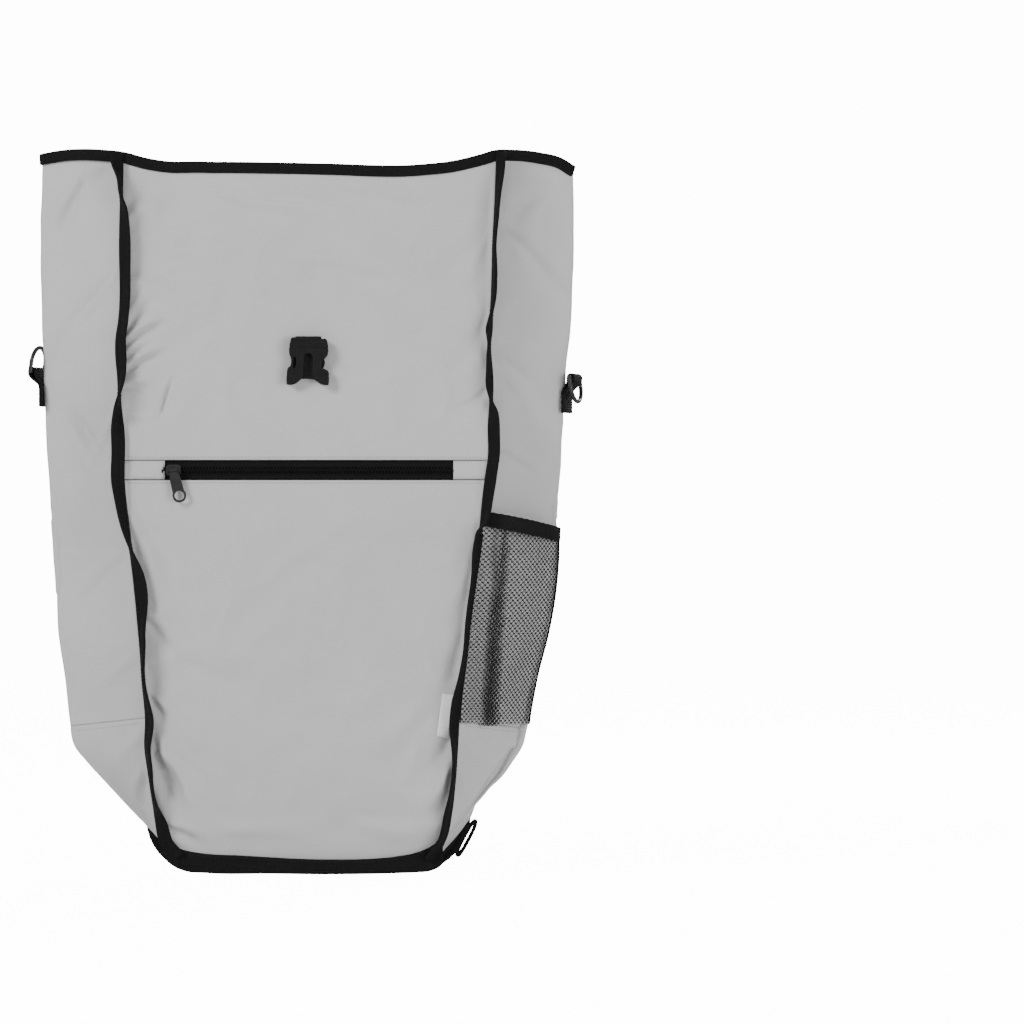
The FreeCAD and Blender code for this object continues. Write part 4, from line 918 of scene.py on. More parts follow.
for side, name, lean in ((-1, "left", LEAN_LEFT), (1, "right", LEAN_RIGHT)):
    rows = spread(17, TOP_ROW, 2.5)
    tape, root, away, face = bound_seam(f"seam_tape_{name}", side, rows, lean)
    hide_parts(f"seam_binding_{name}")
    thread_rows = [(root + away * 2.6 + face * sign * 1.7, face * sign) for sign in (-1, 1)]
    threads_made = stitches(f"seam_thread_{name}", thread_rows, black_thread, None, "black_tape",
                            **TAPE_STITCH)
    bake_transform(tape)
    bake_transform(threads_made)
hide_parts("roll_top_bindings")


def eased(corners, reach):
    """A closed outline with each corner eased over a short reach, as points (x, y, 0)."""
    path, count = [], len(corners)
    for k, corner in enumerate(np.array(corners, float)):
        before, after = np.array(corners[k - 1], float), np.array(corners[(k + 1) % count], float)
        start, end = corner + unit(before - corner) * reach, corner + unit(after - corner) * reach
        for t in np.linspace(0, 1, 6):
            path.append((1 - t) ** 2 * start + 2 * t * (1 - t) * corner + t * t * end)
    return np.pad(np.array(path), ((0, 0), (0, 1)))


def mouth_path():
    """The cloth edge round the mouth, anticlockwise from the rear, as points and outward ways."""
    corners = [(-178, -25.2), (178, -25.2), (252.4, 0), (179, 23.4), (-179, 23.4), (-252.4, 0)]
    ring = eased(corners, 3.0)
    ring = resample(np.concatenate([ring, ring[:1]]), 2.5)[:-1]
    x, y = ring[:, 0], ring[:, 1]
    rear = smooth(y, 0, 18)
    z = HEM - 1.0 + (hem_top(x) - HEM) * (1 - 0.2 * rear) - 2.5 * rear
    z = z + 0.5 * wobble(x, y, (40, 40), 97)
    z = z - 2.1 * smooth(-y, 2, 24)
    y = y - 0.5 * wobble(x, z, (60, 60), 98)
    points = np.stack([x, y, z], -1)
    along = headings(points, closed=True)
    out = unit(np.cross(along, np.array([0, 0, 1.0])))
    return points, along, out


hem_points, hem_along, hem_out = mouth_path()
hem_down = np.cross(hem_along, hem_out)
if hem_down[0, 2] > 0:
    hem_down = -hem_down
HEM_H, HEM_T = 10.8, 5.0
hem_section = centred(HEM_H, HEM_T, 0.36, -0.6)
hem_tape = sweep("hem_tape", hem_points, hem_down, hem_out, hem_section, tape_black, True,
                 slot="black_tape")
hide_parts("mouth_binding")
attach(hem_tape, "roll_top")
hem_line = hem_points + hem_down * (HEM_H - 2.4) + hem_out * (HEM_T / 2 + 0.05)
closed = np.append(np.arange(len(hem_line)), 0)
stitches("hem_thread", [(hem_line[closed], hem_out[closed])], black_thread, "roll_top", "black_tape",
         **TAPE_STITCH)

foot_top = through(
    (-142, 36), (-134, 31), (-126, 27), (-117, 24), (-96, 20.4), (-65, 18.8), (-33, 17), (18, 14.9),
    (60, 15.8), (86, 18.4), (101, 21.3), (113, 26), (122, 32), (130, 39))
foot_low = through(
    (-142, 27), (-134, 15), (-126, 8.5), (-117, 4.6), (-96, 2.4), (-33, 1.8), (18, 1.2), (86, 2.4),
    (101, 3), (115, 4.5), (124, 8.5), (130, 15))
foot_x = spread(-134.5, 127.5, 2.5)
seen_x = as_seen(foot_x, 0)[0]
foot_z = EYE_Z + ((foot_top(seen_x) + foot_low(seen_x)) / 2 - EYE_Z) / NEARER
foot = np.stack([foot_x, -38.7 - 0.5 * wobble(foot_x, 0 * foot_x, (50, 50), 101), foot_z], -1)
FOOT_W, FOOT_T = 14.0, 5.4
foot_wide = (foot_top(seen_x) - foot_low(seen_x)) / FOOT_W
foot_up, foot_out = facing((0, 0, 1), foot), facing(OUT_FRONT, foot)
foot_band = centred(FOOT_W, FOOT_T, 0.3, -FOOT_W / 2)
foot_section = np.array([foot_band * np.array([k, 1]) for k in foot_wide])
foot_tape = sweep("foot_tape", foot, foot_up, foot_out, foot_section, tape_black, slot="black_tape")
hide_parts("seam_binding_bottom")
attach(foot_tape, "bag")
stitches("foot_thread", [(foot + foot_up * 4.8 * foot_wide[:, None] + foot_out * 2.75, foot_out)],
         black_thread, "bag", "black_tape", **TAPE_STITCH)


# ---------------------------------------------------------------- seams of the bag's front and sides
def level_path(low, high, z):
    """Points across the bag at a height."""
    return [(a, 0, z) for a in spread(low, high, 3)]


seam_rows = []
for side, _ in SIDES:
    t = np.linspace(0.06, 0.93, 40)
    front, crease = FRONT[side], CREASE[side]
    heights = seam_height(side, t) - 5.0
    path = [(side * (front(h) + (crease(h) - front(h)) * k), -20, h) for k, h in zip(t, heights)]
    seam_rows.append(dropped(bottom_tree, path, (-side * 0.25, 1, 0)))
edge_z = spread(42, 120, 2)
edge_x = np.interp(edge_z, (42, 86, 88, 120), (141, 169, 172, 193))
line = np.stack([edge_x, facing((0, -20, 0), edge_z)[:, 1], edge_z], -1)
seam_rows.append(dropped(bottom_tree, line, (-0.25, 1, 0)))
stitches("bottom_thread", seam_rows, grey_thread, "bag", "grey_cloth", **CLOTH_STITCH)

zip_rows = []
for tree, z in ((lower_tree, ZIP_LOW - 2.6), (upper_tree, ZIP_HIGH + 2.6)):
    zip_rows.append(dropped(tree, level_path(-166, 163, z), OUT_BACK))
stitches("zip_thread", zip_rows, grey_thread, "bag", "grey_cloth", **CLOTH_STITCH)


# ---------------------------------------------------------------- zip
zip_y = float(front_y(ZIP_Z))
tape_z = spread(367, 395, 1.4)
z = np.repeat(tape_z[:, None], 60, 1)
x = np.linspace(-139, 141, 60)[None, :] + 0 * z
split = np.abs(z - ZIP_Z)
y = zip_y + 1.6 + 0.9 * smooth(split, 1.2, 6) - 0.2 * smooth(split, 8, 10)
zip_band = cloth("zip_tape_cloth", [np.stack([x, y, z], -1)], 0.7, [OUT_FRONT], [zip_cloth])
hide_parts("zip_tape")
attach(zip_band, "bag")

TOOTH_PITCH = 1.5
tooth_rows = []
for k, a in enumerate(np.arange(-133.4, 137.0, TOOTH_PITCH)):
    way = 1 if k % 2 else -1
    line = np.array([(a - 0.25, zip_y + 0.9, ZIP_Z + way * 3.0), (a, zip_y + 0.2, ZIP_Z + way * 1.0),
                     (a + 0.1, zip_y + 0.3, ZIP_Z - way * 1.1)])
    tooth_rows.append((line, facing(OUT_FRONT, line)))
chain = stitches("zip_coil", tooth_rows, coil_nylon, "bag", "zip_coil", pitch=4.1, length=4.3, radius=0.72,
                 lift=-0.2)
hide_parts("zip_chain")


# ---------------------------------------------------------------- inner pocket wall
u, z = lattice(spread(20, 397, 12), 40)
x = u * (np.minimum(front_left(z), front_right(z)) - 5)
y = front_y(z) + 8.2 + 0.5 * wobble(x, z, (90, 70), 111)
wall = cloth("pocket_wall", [np.stack([x, y, z], -1)], 0.7, [OUT_FRONT], [lining_cloth])
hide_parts("front_pocket_lining")
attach(wall, "bag")


# ---------------------------------------------------------------- stiff back, its tape and its cover
def rounded_outline(half, low, high, radii):
    """The outline of a plate; radii are those of its corners, from the lower right, anticlockwise."""
    ring = []
    for x_way, z_way, begin, radius in ((1, -1, -90, radii[0]), (1, 1, 0, radii[1]), (-1, 1, 90, radii[2]),
                                        (-1, -1, 180, radii[3])):
        cx, cz = x_way * (half - radius), (high - radius if z_way > 0 else low + radius)
        for k in range(10):
            a = math.radians(begin + 10 * k)
            ring.append((cx + radius * math.cos(a), 0, cz + radius * math.sin(a)))
    ring.append(ring[0])
    return resample(ring, 4.0)[:-1]


def pillow(name, outline, y_front, y_back, material, crown, body="bag"):
    """A flat padded plate: both faces made of rings that close in towards the middle."""
    centre = outline.mean(0)
    points, shares = [], [0.0, 0.02, 0.05, 0.1, 0.2, 0.35, 0.5, 0.7, 0.9]
    count = len(outline)
    for y0, sign in ((y_front, -1), (y_back, 1)):
        for share in shares:
            ring = outline + (centre - outline) * share
            ring[:, 1] = y0 + sign * crown * (smooth(share, 0, 0.12) - 1)
            soft = wobble(ring[:, 0], ring[:, 2], (50, 50), 120 + sign)
            ring[:, 1] += sign * 0.25 * soft * min(1, share * 8)
            points.append(ring)
    layers = len(shares)
    order = list(range(layers))[::-1] + [layers + k for k in range(layers)]
    grid = np.stack([points[k] for k in order])
    faces = grid_quads(len(order), count, wrap=True).tolist()
    faces += [list(range(count))[::-1], list(range((len(order) - 1) * count, len(order) * count))]
    uv = grid[..., [0, 2]]
    obj = add_object(name, grid.reshape(-1, 3), faces, [material], None, uv.reshape(-1, 2))
    obj.data.validate()
    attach(obj, body)
    return obj


panel_high = in_bag("back_panel_binding")[1]
PANEL_HALF, PANEL_TOP = panel_high[0], panel_high[2]
PANEL_FRONT_Y, PANEL_BACK_Y = 35.9, 40.2
PANEL_R = np.array([56.0, 56.0, 56.0, 51.0])
inner = rounded_outline(PANEL_HALF - 5, 5, PANEL_TOP - 5, PANEL_R - 5)
panel = pillow("back_cloth", inner, PANEL_FRONT_Y, PANEL_BACK_Y, black_cloth, 0.5)
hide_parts("back_panel")

ring = rounded_outline(PANEL_HALF - 3.6, 3.6, PANEL_TOP - 3.6, PANEL_R - 3.6)
along = headings(ring, closed=True)
out = unit(np.cross(along, np.array([0, 1.0, 0])))
if np.sum(out * (ring - ring.mean(0))) < 0:
    out = -out
depth = facing(OUT_BACK, ring)
ring[:, 0] = ring[:, 0] * 1.008 - 1.2
ring[:, 1] = 38.0 + 0.25 * wobble(ring[:, 0], ring[:, 2], (40, 40), 131)
edge_section = centred(7.4, 5.4, 0.46, -3.8)
back_tape = sweep("back_tape", ring, out, depth, edge_section, tape_black, True, slot="black_tape")
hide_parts("back_panel_binding")
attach(back_tape, "bag")
again = np.append(np.arange(len(ring)), 0)
back_rows = [((ring - out * 2.2 + depth * sign * 2.75)[again], (depth * sign)[again]) for sign in (-1, 1)]
stitches("back_thread", back_rows, black_thread, "bag", "black_tape", **TAPE_STITCH)

COVER_TOP, COVER_LOW, COVER_R, COVER_Y = 397.0, 9.0, 52.0, 52.0
COVER_HALF_LOW, COVER_HALF_TOP = 146, 163
WRAP_DEPTHS = (47.6, 45.0, 43.0, 41.4)


def cover_half(z):
    """Half the cover's width: it narrows towards its foot and has round lower corners."""
    widening = COVER_HALF_TOP - COVER_HALF_LOW
    straight = COVER_HALF_LOW + widening * (z - COVER_LOW) / (COVER_TOP - COVER_LOW)
    drop = np.clip(COVER_LOW + COVER_R - z, 0, COVER_R)
    return straight - COVER_R + np.sqrt(np.maximum(COVER_R ** 2 - drop ** 2, 0))


def cover_relief(x, z):
    """The cover's soft face; it lies flat under the rail and under the lower hook."""
    rail = smooth(np.abs(z - 368), 24, 60)
    hook = smooth(np.hypot(x, z - 58), 26, 60)
    edge = smooth(cover_half(z) - np.abs(x), 2, 30) * smooth(z, COVER_LOW, 40)
    wave = 0.9 + 0.9 * wobble(x, z, (140, 110), 141, 20) + 0.6 * wobble(x, z, (55, 60), 142, -30)
    wave = wave + 0.5 - 1.1 * np.abs(wobble(x, z, (48, 40), 143, 30))
    folds = creases(x, z, [(-150, 60, -110, 110, 7, 1.2), (-152, 90, -128, 190, 6, -1.0),
                           (148, 60, 116, 140, 7, 1.1), (-158, 330, -140, 250, 5, 1.0),
                           (150, 300, 132, 220, 5, 1.0), (-60, 40, -110, 64, 6, 0.9)])
    return np.clip(rail * hook * edge * (wave + folds), -1.8, 2.6)


def cover_grid():
    """The cover's face, wrapped round its sides and foot to the stiff back."""
    rows = np.concatenate([COVER_LOW + COVER_R * (1 - np.cos(np.linspace(0, math.pi / 2, 16)[:-1])),
                           spread(COVER_LOW + COVER_R, COVER_TOP, 6.0)])
    u, z = lattice(rows, 90)
    x = u * cover_half(z)
    y = COVER_Y + cover_relief(x, z)
    round_r = 4.0
    inward = np.maximum(np.minimum(cover_half(z) - np.abs(x), round_r), 0)
    y = y - (round_r - np.sqrt(np.maximum(round_r ** 2 - (round_r - inward) ** 2, 0)))
    face = np.stack([x, y, z], -1)
    wall = []
    for depth_y in WRAP_DEPTHS:
        ring_l, ring_r = face[:, :1].copy(), face[:, -1:].copy()
        for edge in (ring_l, ring_r):
            edge[..., 1] = depth_y
        wall.append((ring_l, ring_r))
    left = np.concatenate([w[0] for w in wall[::-1]], 1)
    right = np.concatenate([w[1] for w in wall], 1)
    whole = np.concatenate([left, face, right], 1)
    foot_rows = []
    for depth_y in WRAP_DEPTHS[::-1]:
        row = whole[:1].copy()
        row[..., 1] = np.minimum(row[..., 1], depth_y)
        foot_rows.append(row)
    return np.concatenate(foot_rows + [whole], 0)


cover = cloth("cover_cloth", [cover_grid()], CLOTH_T, [OUT_BACK], [grey_cloth, lining_cloth])
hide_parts("strap_cover")
cover_tree = surface_of(cover)
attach(cover, "bag")

POCKET_HALF, POCKET_LOW, POCKET_TOP = 116.0, 90.0, 338.0
u, z = lattice(spread(POCKET_LOW, POCKET_TOP, 5.0), 60)
x = u * POCKET_HALF * (1 + 0.012 * (z - 214) / 124)
gape = 5.2 * smooth(z, 200, 338) * np.clip(1 - (x / 112.0) ** 4, 0, 1)
y = COVER_Y + cover_relief(x, z) + 1.3 + gape + 0.4 * np.abs(wobble(x, z, (60, 50), 151))
pocket = cloth("cover_pocket_cloth", [np.stack([x, y, z], -1)], 1.0, [OUT_BACK], GREY_SKIN)
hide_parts("cover_pocket")
pocket_tree = surface_of(pocket)
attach(pocket, "bag")

inset = POCKET_HALF - 5.6
pocket_path = ([(-inset, 0, a) for a in spread(POCKET_TOP - 4, POCKET_LOW + 5.6, 3)]
               + level_path(-inset, inset, POCKET_LOW + 5.6)
               + [(inset, 0, a) for a in spread(POCKET_LOW + 5.6, POCKET_TOP - 4, 3)])
hem_path = level_path(-inset, inset, POCKET_TOP - 6.5)
cover_rows = [dropped(pocket_tree, pocket_path, OUT_FRONT), dropped(pocket_tree, hem_path, OUT_FRONT),
              dropped(cover_tree, level_path(-132, 132, 48), OUT_FRONT),
              dropped(cover_tree, level_path(-156, 156, COVER_TOP - 7), OUT_FRONT)]
for side, _ in SIDES:
    path = [(side * (cover_half(a) - 8.5), 0, a) for a in spread(62, COVER_TOP - 3, 3)]
    cover_rows.append(dropped(cover_tree, path, OUT_FRONT))
stitches("cover_thread", cover_rows, grey_thread, "bag", "grey_cloth", pitch=3.6, length=2.8)


# ---------------------------------------------------------------- shoulder straps
def shoulder_strap(name, side):
    """A padded strap: a soft oval section with stitched edges, from the panel's top down the cover."""
    pad_y = 44.2
    line = [(16, 0, 414), (28, 0, 398), (50, 0, 374), (66, 0, 346), (70, 0, 300), (70, 0, 140), (66, 0, 106)]
    path = resample(rounded([(side * a, pad_y, b) for a, _, b in line], 3), 5)
    width = np.interp(path[:, 2], (106, 135, 340, 372, 398, 414), (24, 46, 50, 45, 38, 34))
    along, out = headings(path), facing(OUT_BACK, path)
    across = np.cross(out, along)
    a = np.linspace(0, 2 * math.pi, 28, endpoint=False)
    oval = np.stack([np.sign(np.cos(a)) * np.abs(np.cos(a)) ** 0.55 * 0.5,
                     np.sign(np.sin(a)) * np.abs(np.sin(a)) ** 0.8], -1)
    puff = 2.6 - 0.5 * (np.abs(np.sin(np.arange(len(path)) * 0.9)) > 0.94)
    section = np.stack([oval * np.array([w, p]) for w, p in zip(width, puff)])
    strap = sweep(name, path, across, out, section, pad_cloth, slot="strap_pad")
    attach(strap, "bag")
    edges = [(path + across * (width[:, None] * 0.5 - 4) * sign + out * 2.35, out) for sign in (-1, 1)]
    stitches(name + "_thread", edges, black_thread, "bag", "strap_pad", pitch=3.4, length=2.6, radius=0.3)
    return strap


for side, name in SIDES:
    strap = shoulder_strap(f"strap_pad_{name}", side)
    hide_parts(f"shoulder_strap_{name}")


# ---------------------------------------------------------------- net pocket and label
MESH_SWELL = 11.0
NET_PITCH, NET_ROW, NET_T = 4.15, 2.4, 0.32
NET_LOW, NET_H = 142, 186


def net_mouth(s):
    """The height of the net's edge under its elastic, from the seam (0) to the crease (1)."""
    return 329.5 - 15.5 * np.asarray(s)


def net_point(s, z, lift):
    """A point of the net over the right gusset's front leaf, raised by lift."""
    s, z = np.asarray(s, float), np.asarray(z, float)
    fx, fy = front_right(z) + 0.4, front_y(z) - seam_out(z) - 0.9
    cx, cy = crease_right(z) - 0.8, -2.6 + 0 * z
    x, y = fx + (cx - fx) * s, fy + (cy - fy) * s
    nx, ny = (cy - fy), -(cx - fx)
    scale = np.hypot(nx, ny)
    open_up = smooth(z, 140, 320)
    swell = (1.2 + MESH_SWELL * open_up) * np.sin(np.pi * np.clip(s, 0, 1)) ** 0.8
    swell = swell + 1.6 * wobble(s * 70, z, (40, 60), 161) * np.sin(np.pi * np.clip(s, 0, 1)) + lift
    return np.stack([x + nx / scale * swell, y + ny / scale * swell, z], -1)


EYE = [(1, 0), (0.75, 0.78), (0, 1.28), (-0.75, 0.78), (-1, 0), (-0.75, -0.78), (0, -1.28), (0.75, -0.78)]


def net(name, s_low, s_high, lift=0.0, shift=0.0, eye=0.62):
    """Open netting: staggered eyes with flat strands round them; eye is an eye's share of its cell."""
    points, faces, start = [], [], 0
    half = NET_ROW
    width_of = crease_right(np.array([230.0]))[0] - front_right(np.array([230.0]))[0] - 1.4
    for row in range(int(NET_H / half)):
        z = NET_LOW + half * (row + 1)
        count = int(width_of / NET_PITCH)
        for k in range(-2, count):
            s = (k + 0.5 * (row % 2) + 0.5 + shift) / count
            if s < s_low(z) or s > s_high(z) or z > net_mouth(s) + 2 or z < seam_height(1, s) - 1:
                continue
            ds = 0.5 / count
            corners = [(ds, 0), (ds / 2, half / 2), (0, half), (-ds / 2, half / 2), (-ds, 0),
                       (-ds / 2, -half / 2), (0, -half), (ds / 2, -half / 2)]
            hole = [(a * ds * eye, b * half * eye) for a, b in EYE]
            ring = [(s + a, z + b) for a, b in corners + hole]
            points += ring
            for i in range(8):
                j = (i + 1) % 8
                faces.append([start + i, start + j, start + 8 + j, start + 8 + i])
            start += 16
    flat = np.array(points)
    place = net_point(np.clip(flat[:, 0], -0.1, 1.0), flat[:, 1], lift)
    obj = add_object(name, place, faces, [net_yarn], None, np.stack([flat[:, 0] * 80, flat[:, 1]], -1))
    bm_merge(obj, 0.00002)
    solid = obj.modifiers.new("thick", "SOLIDIFY")
    solid.thickness = NET_T * MM
    solid.offset = 0
    apply_modifiers(obj)
    return obj


def bm_merge(obj, distance):
    """Welds points that lie together."""
    bm = bmesh.new()
    bm.from_mesh(obj.data)
    bmesh.ops.remove_doubles(bm, verts=bm.verts, dist=distance)
    bmesh.ops.recalc_face_normals(bm, faces=bm.faces)
    bm.to_mesh(obj.data)
    bm.free()


def apply_modifiers(obj):
    """Makes the modified mesh the object's own."""
    graph = bpy.context.evaluated_depsgraph_get()
    graph.update()
    mesh = bpy.data.meshes.new_from_object(obj.evaluated_get(graph))
    obj.modifiers.clear()
    obj.data = mesh
    mesh.name = obj.name


net_main = net("net_cloth", lambda z: -0.025, lambda z: 0.975)
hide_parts("mesh_pocket")
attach(net_main, "bag")


def pleat_middle(z):
    """Where the net's doubled pleat lies, across the pocket."""
    x = np.interp(z, (150, 215, 259, 323), (172.3, 173.8, 177, 180.6))
    return (x - front_right(z)) / (crease_right(z) - front_right(z))


def pleat_half(z):
    """Half the pleat's width, as a share of the pocket's."""
    return np.interp(z, (150, 323), (0.088, 0.028))


for name, lift, shift in (("net_pleat", -1.3, 0.25), ("net_pleat_inner", 1.2, 0.6)):
    pleat = net(name, lambda z: pleat_middle(z) - pleat_half(z), lambda z: pleat_middle(z) + pleat_half(z),
                lift=lift, shift=shift, eye=0.6)
    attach(pleat, "bag")

edge_z = spread(143, 314, 4)
edge_path = net_point(0 * edge_z + 0.98, edge_z, 0.3)
edge_out = facing((0.35, -0.94, 0), edge_z)
net_edge = sweep("net_edge", edge_path, unit(np.cross(headings(edge_path), edge_out)), edge_out,
                 band(1.9, 1.3, 0.45, -0.95), tape_black, slot="mesh")
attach(net_edge, "bag")

hold_z = spread(148, 322, 4)
hold_path = net_point(0 * hold_z + 0.004, hold_z, 0.2)
hold_out = facing((0.35, -0.94, 0), hold_z)
net_hold = sweep("net_hold", hold_path, unit(np.cross(headings(hold_path), hold_out)), hold_out,
                 band(4.6, 0.9, 0.45, -2.3), tape_black, slot="mesh")
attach(net_hold, "bag")

ELASTIC_STEPS = 40
s = np.linspace(0.015, 1.0, ELASTIC_STEPS)
elastic_path = net_point(np.clip(s, 0, 1), net_mouth(s) + 6.6, 0.4)
e_along = headings(elastic_path)
e_out = unit(np.cross(e_along, np.array([0, 0, 1.0])))
if e_out[ELASTIC_STEPS // 2, 1] > 0:
    e_out = -e_out
e_up = np.cross(e_out, e_along)
if e_up[ELASTIC_STEPS // 2, 2] < 0:
    e_up = -e_up
gather = 1 + 0.03 * np.sin(np.arange(ELASTIC_STEPS) * 2.1)
elastic = sweep("net_elastic", elastic_path, e_up * gather[:, None], e_out,
                band(14.0, 2.4, 0.45, -7.0) - np.array([0, 0.9]), elastic_black, slot="elastic")
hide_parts("mesh_pocket_elastic")
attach(elastic, "bag")
stitches("elastic_thread", [(elastic_path - e_up * 4.6 + e_out * 1.6, e_out)], black_thread, "bag", "elastic",
         pitch=3.0, length=2.3, radius=0.28)

label_rows = np.linspace(0, 1, 16)[:, None]
label_across = np.linspace(0, 1, 8)[None, :]
lx = 121.5 + 5.5 * label_rows + 11.2 * label_across
lz = 132.8 + 40.5 * label_rows - 1.4 * label_across
label_curl = 0.9 * np.sin(math.pi * label_rows * 0.9) * (1 - label_across)
ly = front_y(lz) - front_relief(lx, lz) - 0.9 - label_curl
label = cloth("label", [np.stack([lx, ly, lz], -1)], 0.35, [OUT_FRONT], [label_satin])
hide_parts("side_label")
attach(label, "bag")


# ---------------------------------------------------------------- rings and webbing
def strip(name, path, width, thick, body, across, closed=False):
    """Webbing along a path; across is the way its width runs."""
    along = headings(np.asarray(path, float), closed)
    side = np.broadcast_to(across, path.shape)
    section = centred(width, thick, 0.45, -width / 2)
    obj = sweep(name, path, side, np.cross(side, along), section, webbing_black, closed, slot="webbing")
    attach(obj, body)
    return obj


LOOP_W, LOOP_T = 23.5, 1.75
CLOSURE_W, CLOSURE_T = 24.6, 1.5
LOWER_LOOP_W, LOWER_LOOP_Y = 18, 50.3
RING_TURN = math.radians(20)
RING_BAR = {-1: (-254.5, 474.0), 1: (250.5, 468.0)}


def ring_webbing(name, node, side, untwist, reach):
    """A webbing tab folded over a D-ring's bar; below the sleeve its two layers are sewn together,
    untwist by some degrees and reach in to the crease."""
    r, tail = 3.35, 33.0
    turn = [(r * math.cos(a), r * math.sin(a)) for a in np.linspace(3.5, -0.35, 14)]
    line = [(1.55, -tail), (1.5, -15), (0.9, -12), (-1.6, -7), (-3.1, -3)] + turn
    line += [(r, -6), (r, -tail)]
    flat = resample(rounded([(a, 0, b) for a, b in line], 1), 1.2)
    below = smooth(-flat[:, 2], 3, 14)
    angle = RING_TURN - math.radians(untwist) * below
    inward = flat[:, 0] + reach * below
    x, z = RING_BAR[side]
    path = np.stack([x - side * inward * np.cos(angle), side * inward * np.sin(angle), z + flat[:, 2]], -1)
    across = np.stack([np.sin(angle), np.cos(angle), 0 * angle], -1)
    obj = strip(name, path, LOOP_W, LOOP_T, "bag", across)
    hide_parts(node)


ring_webbing("ring_webbing_left", "ring_loop_left", -1, 17, 2.6)
ring_webbing("ring_webbing_right", "ring_loop_right", 1, 0, 5.2)


def lower_webbing(name, x, z, lean, thick, half):
    """A short loop of webbing, pressed nearly flat."""
    a = np.linspace(0, 2 * math.pi, 48, endpoint=False)
    flat = np.stack([half * np.sign(np.cos(a)) * np.abs(np.cos(a)) ** 0.8, 0 * a,
                     2.4 * np.sign(np.sin(a)) * np.abs(np.sin(a)) ** 0.7], -1)
    cosine, sine = math.cos(math.radians(lean)), math.sin(math.radians(lean))
    path = np.stack([flat[:, 0] * cosine + flat[:, 2] * sine, flat[:, 1],
                     -flat[:, 0] * sine + flat[:, 2] * cosine], -1)
    path = path + np.array([x, LOWER_LOOP_Y, z])
    return strip(name, path, LOWER_LOOP_W, thick, "bag", OUT_BACK, closed=True)


lower_left = lower_webbing("lower_webbing_left", -156.5, 71.0, 90, 2.6, 15.4)
lower_webbing("lower_webbing_right", 148.4, 31.8, -62, 3.3, 18.0)
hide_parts("lower_strap_loops")


# ---------------------------------------------------------------- buckle socket
BAR_Z, BAR_Y = 503.0, -46.0
SOCKET_SHIFT = np.array([2.6, 0.0, -1.8])
shell = dict(turn=-2.0, pivot=(0.0, 484.0))
FRONT_Y, BACK_Y = BAR_Y - 4.4, BAR_Y + 4.3
throat = [(-4.2, 469.5), (-4.1, 487.5), (-2.6, 490.6), (0, 491.4), (2.6, 490.6), (4.1, 487.5), (4.2, 469.5)]
foot_right = [(5.8, 467.6), (8.8, 465.2), (12.4, 462.8), (18.6, 462.0), (19.6, 463.2), (19.6, 471.5),
              (18.6, 476.0), (14.2, 477.4)]
foot_left = [(-18.8, 477.2), (-19.6, 471.5), (-19.6, 462.4), (-18.6, 461.2), (-12.4, 461.8), (-8.4, 465.0),
             (-5.8, 467.6)]
waist_right = [(12.5, 478.6), (12.4, 483.2), (14.4, 486.2), (17.6, 489.8), (18.2, 493.5), (17.8, 497.2)]
waist_left = [(-17.8, 497.2), (-18.3, 493.5), (-17.8, 489.6), (-16.3, 486.6), (-15.7, 482.5), (-16.3, 478.6)]
outline = foot_right + waist_right + waist_left + foot_left
window = [(-12.8 + 1.5 * math.cos(a), 482.2 + 5.4 * math.sin(a))
          for a in np.linspace(0, 2 * math.pi, 16)[:-1]]
shoulder = [(-18.0, 495.5), (-17.8, 500.6), (-16.0, 501.6), (16.4, 501.6), (17.8, 499.6), (18.0, 495.5)]
rail = ((17.0, 497.4), (17.4, 491), (13.2, 488.4), (9.8, 486), (9.8, 478.5), (17.2, 475), (18.2, 470),
        (17.6, 465), (12.8, 465.4), (7.0, 470.6), (6.0, 476), (6.0, 489), (9.0, 497.4))
prong = ((13.6, 488.5), (15.4, 484.6), (15.2, 480.4), (13.4, 476.5), (12.4, 480.4), (12.4, 484.6))
cheek = ((17.2, 497), (17.2, 503.4), (15.4, 505.4), (13.4, 505.4), (13.4, 497))
ridge = ((12.2, 474.4), (17.6, 473.2), (17.8, 472.0), (12.4, 473.0))
bar = [(-17.0, 500.0), (-16.6, 504.8), (-15.2, 505.6), (12.6, 506.0), (17.2, 501.6), (17.4, 500.0)]
lip = [(-15.0, 503.6), (11.8, 504.2), (12.4, 503.4), (-15.0, 502.9)]


def mirrored(points, side):
    """An outline given for the right, on either side."""
    return [(side * a, b) for a, b in points]


# Each piece: name, outlines, back, front, bevel, material.
SOCKET_PIECES = [
    ("front", [loop_round(outline + throat), window], BAR_Y - 1.2, FRONT_Y, 0.8, buckle_plastic),
    # The back plate takes the darker copy of the plastic: painted shade inside the socket.
    ("back", [loop_round(outline)], BACK_Y, BACK_Y - 2.4, 0.7, buckle_inside),
    ("shoulder", [loop_round(shoulder)], BAR_Y + 1.5, FRONT_Y + 0.9, 0.5, buckle_plastic)]
for side, _ in SIDES:
    SOCKET_PIECES += [
        # The inner rails take the same darker copy: painted shade inside the socket.
        (f"rail_{side}", [mirrored(rail, side)], BAR_Y + 2.2, BAR_Y - 2.2, 0.4, buckle_inside),
        (f"side_{side}", [loop_round(mirrored(prong, side))], BAR_Y + 1.4, BAR_Y - 2.0, 0.4, buckle_plastic),
        (f"cheek_{side}", [loop_round(mirrored(cheek, side))], BAR_Y + 3.0, BAR_Y - 3.0, 0.5, buckle_plastic),
        (f"ridge_{side}", [mirrored(ridge, side)], FRONT_Y + 0.5, FRONT_Y - 0.4, 0.2, buckle_plastic)]
SOCKET_PIECES += [("bar", [loop_round(bar)], BAR_Y + 0.6, FRONT_Y + 0.5, 0.6, buckle_plastic),
                  ("lip", [lip], FRONT_Y + 0.8, FRONT_Y + 0.1, 0.2, buckle_plastic)]
parts = [plate("socket_" + name, *shape, **shell) for name, *shape in SOCKET_PIECES]
socket = joined("socket_shell", parts)
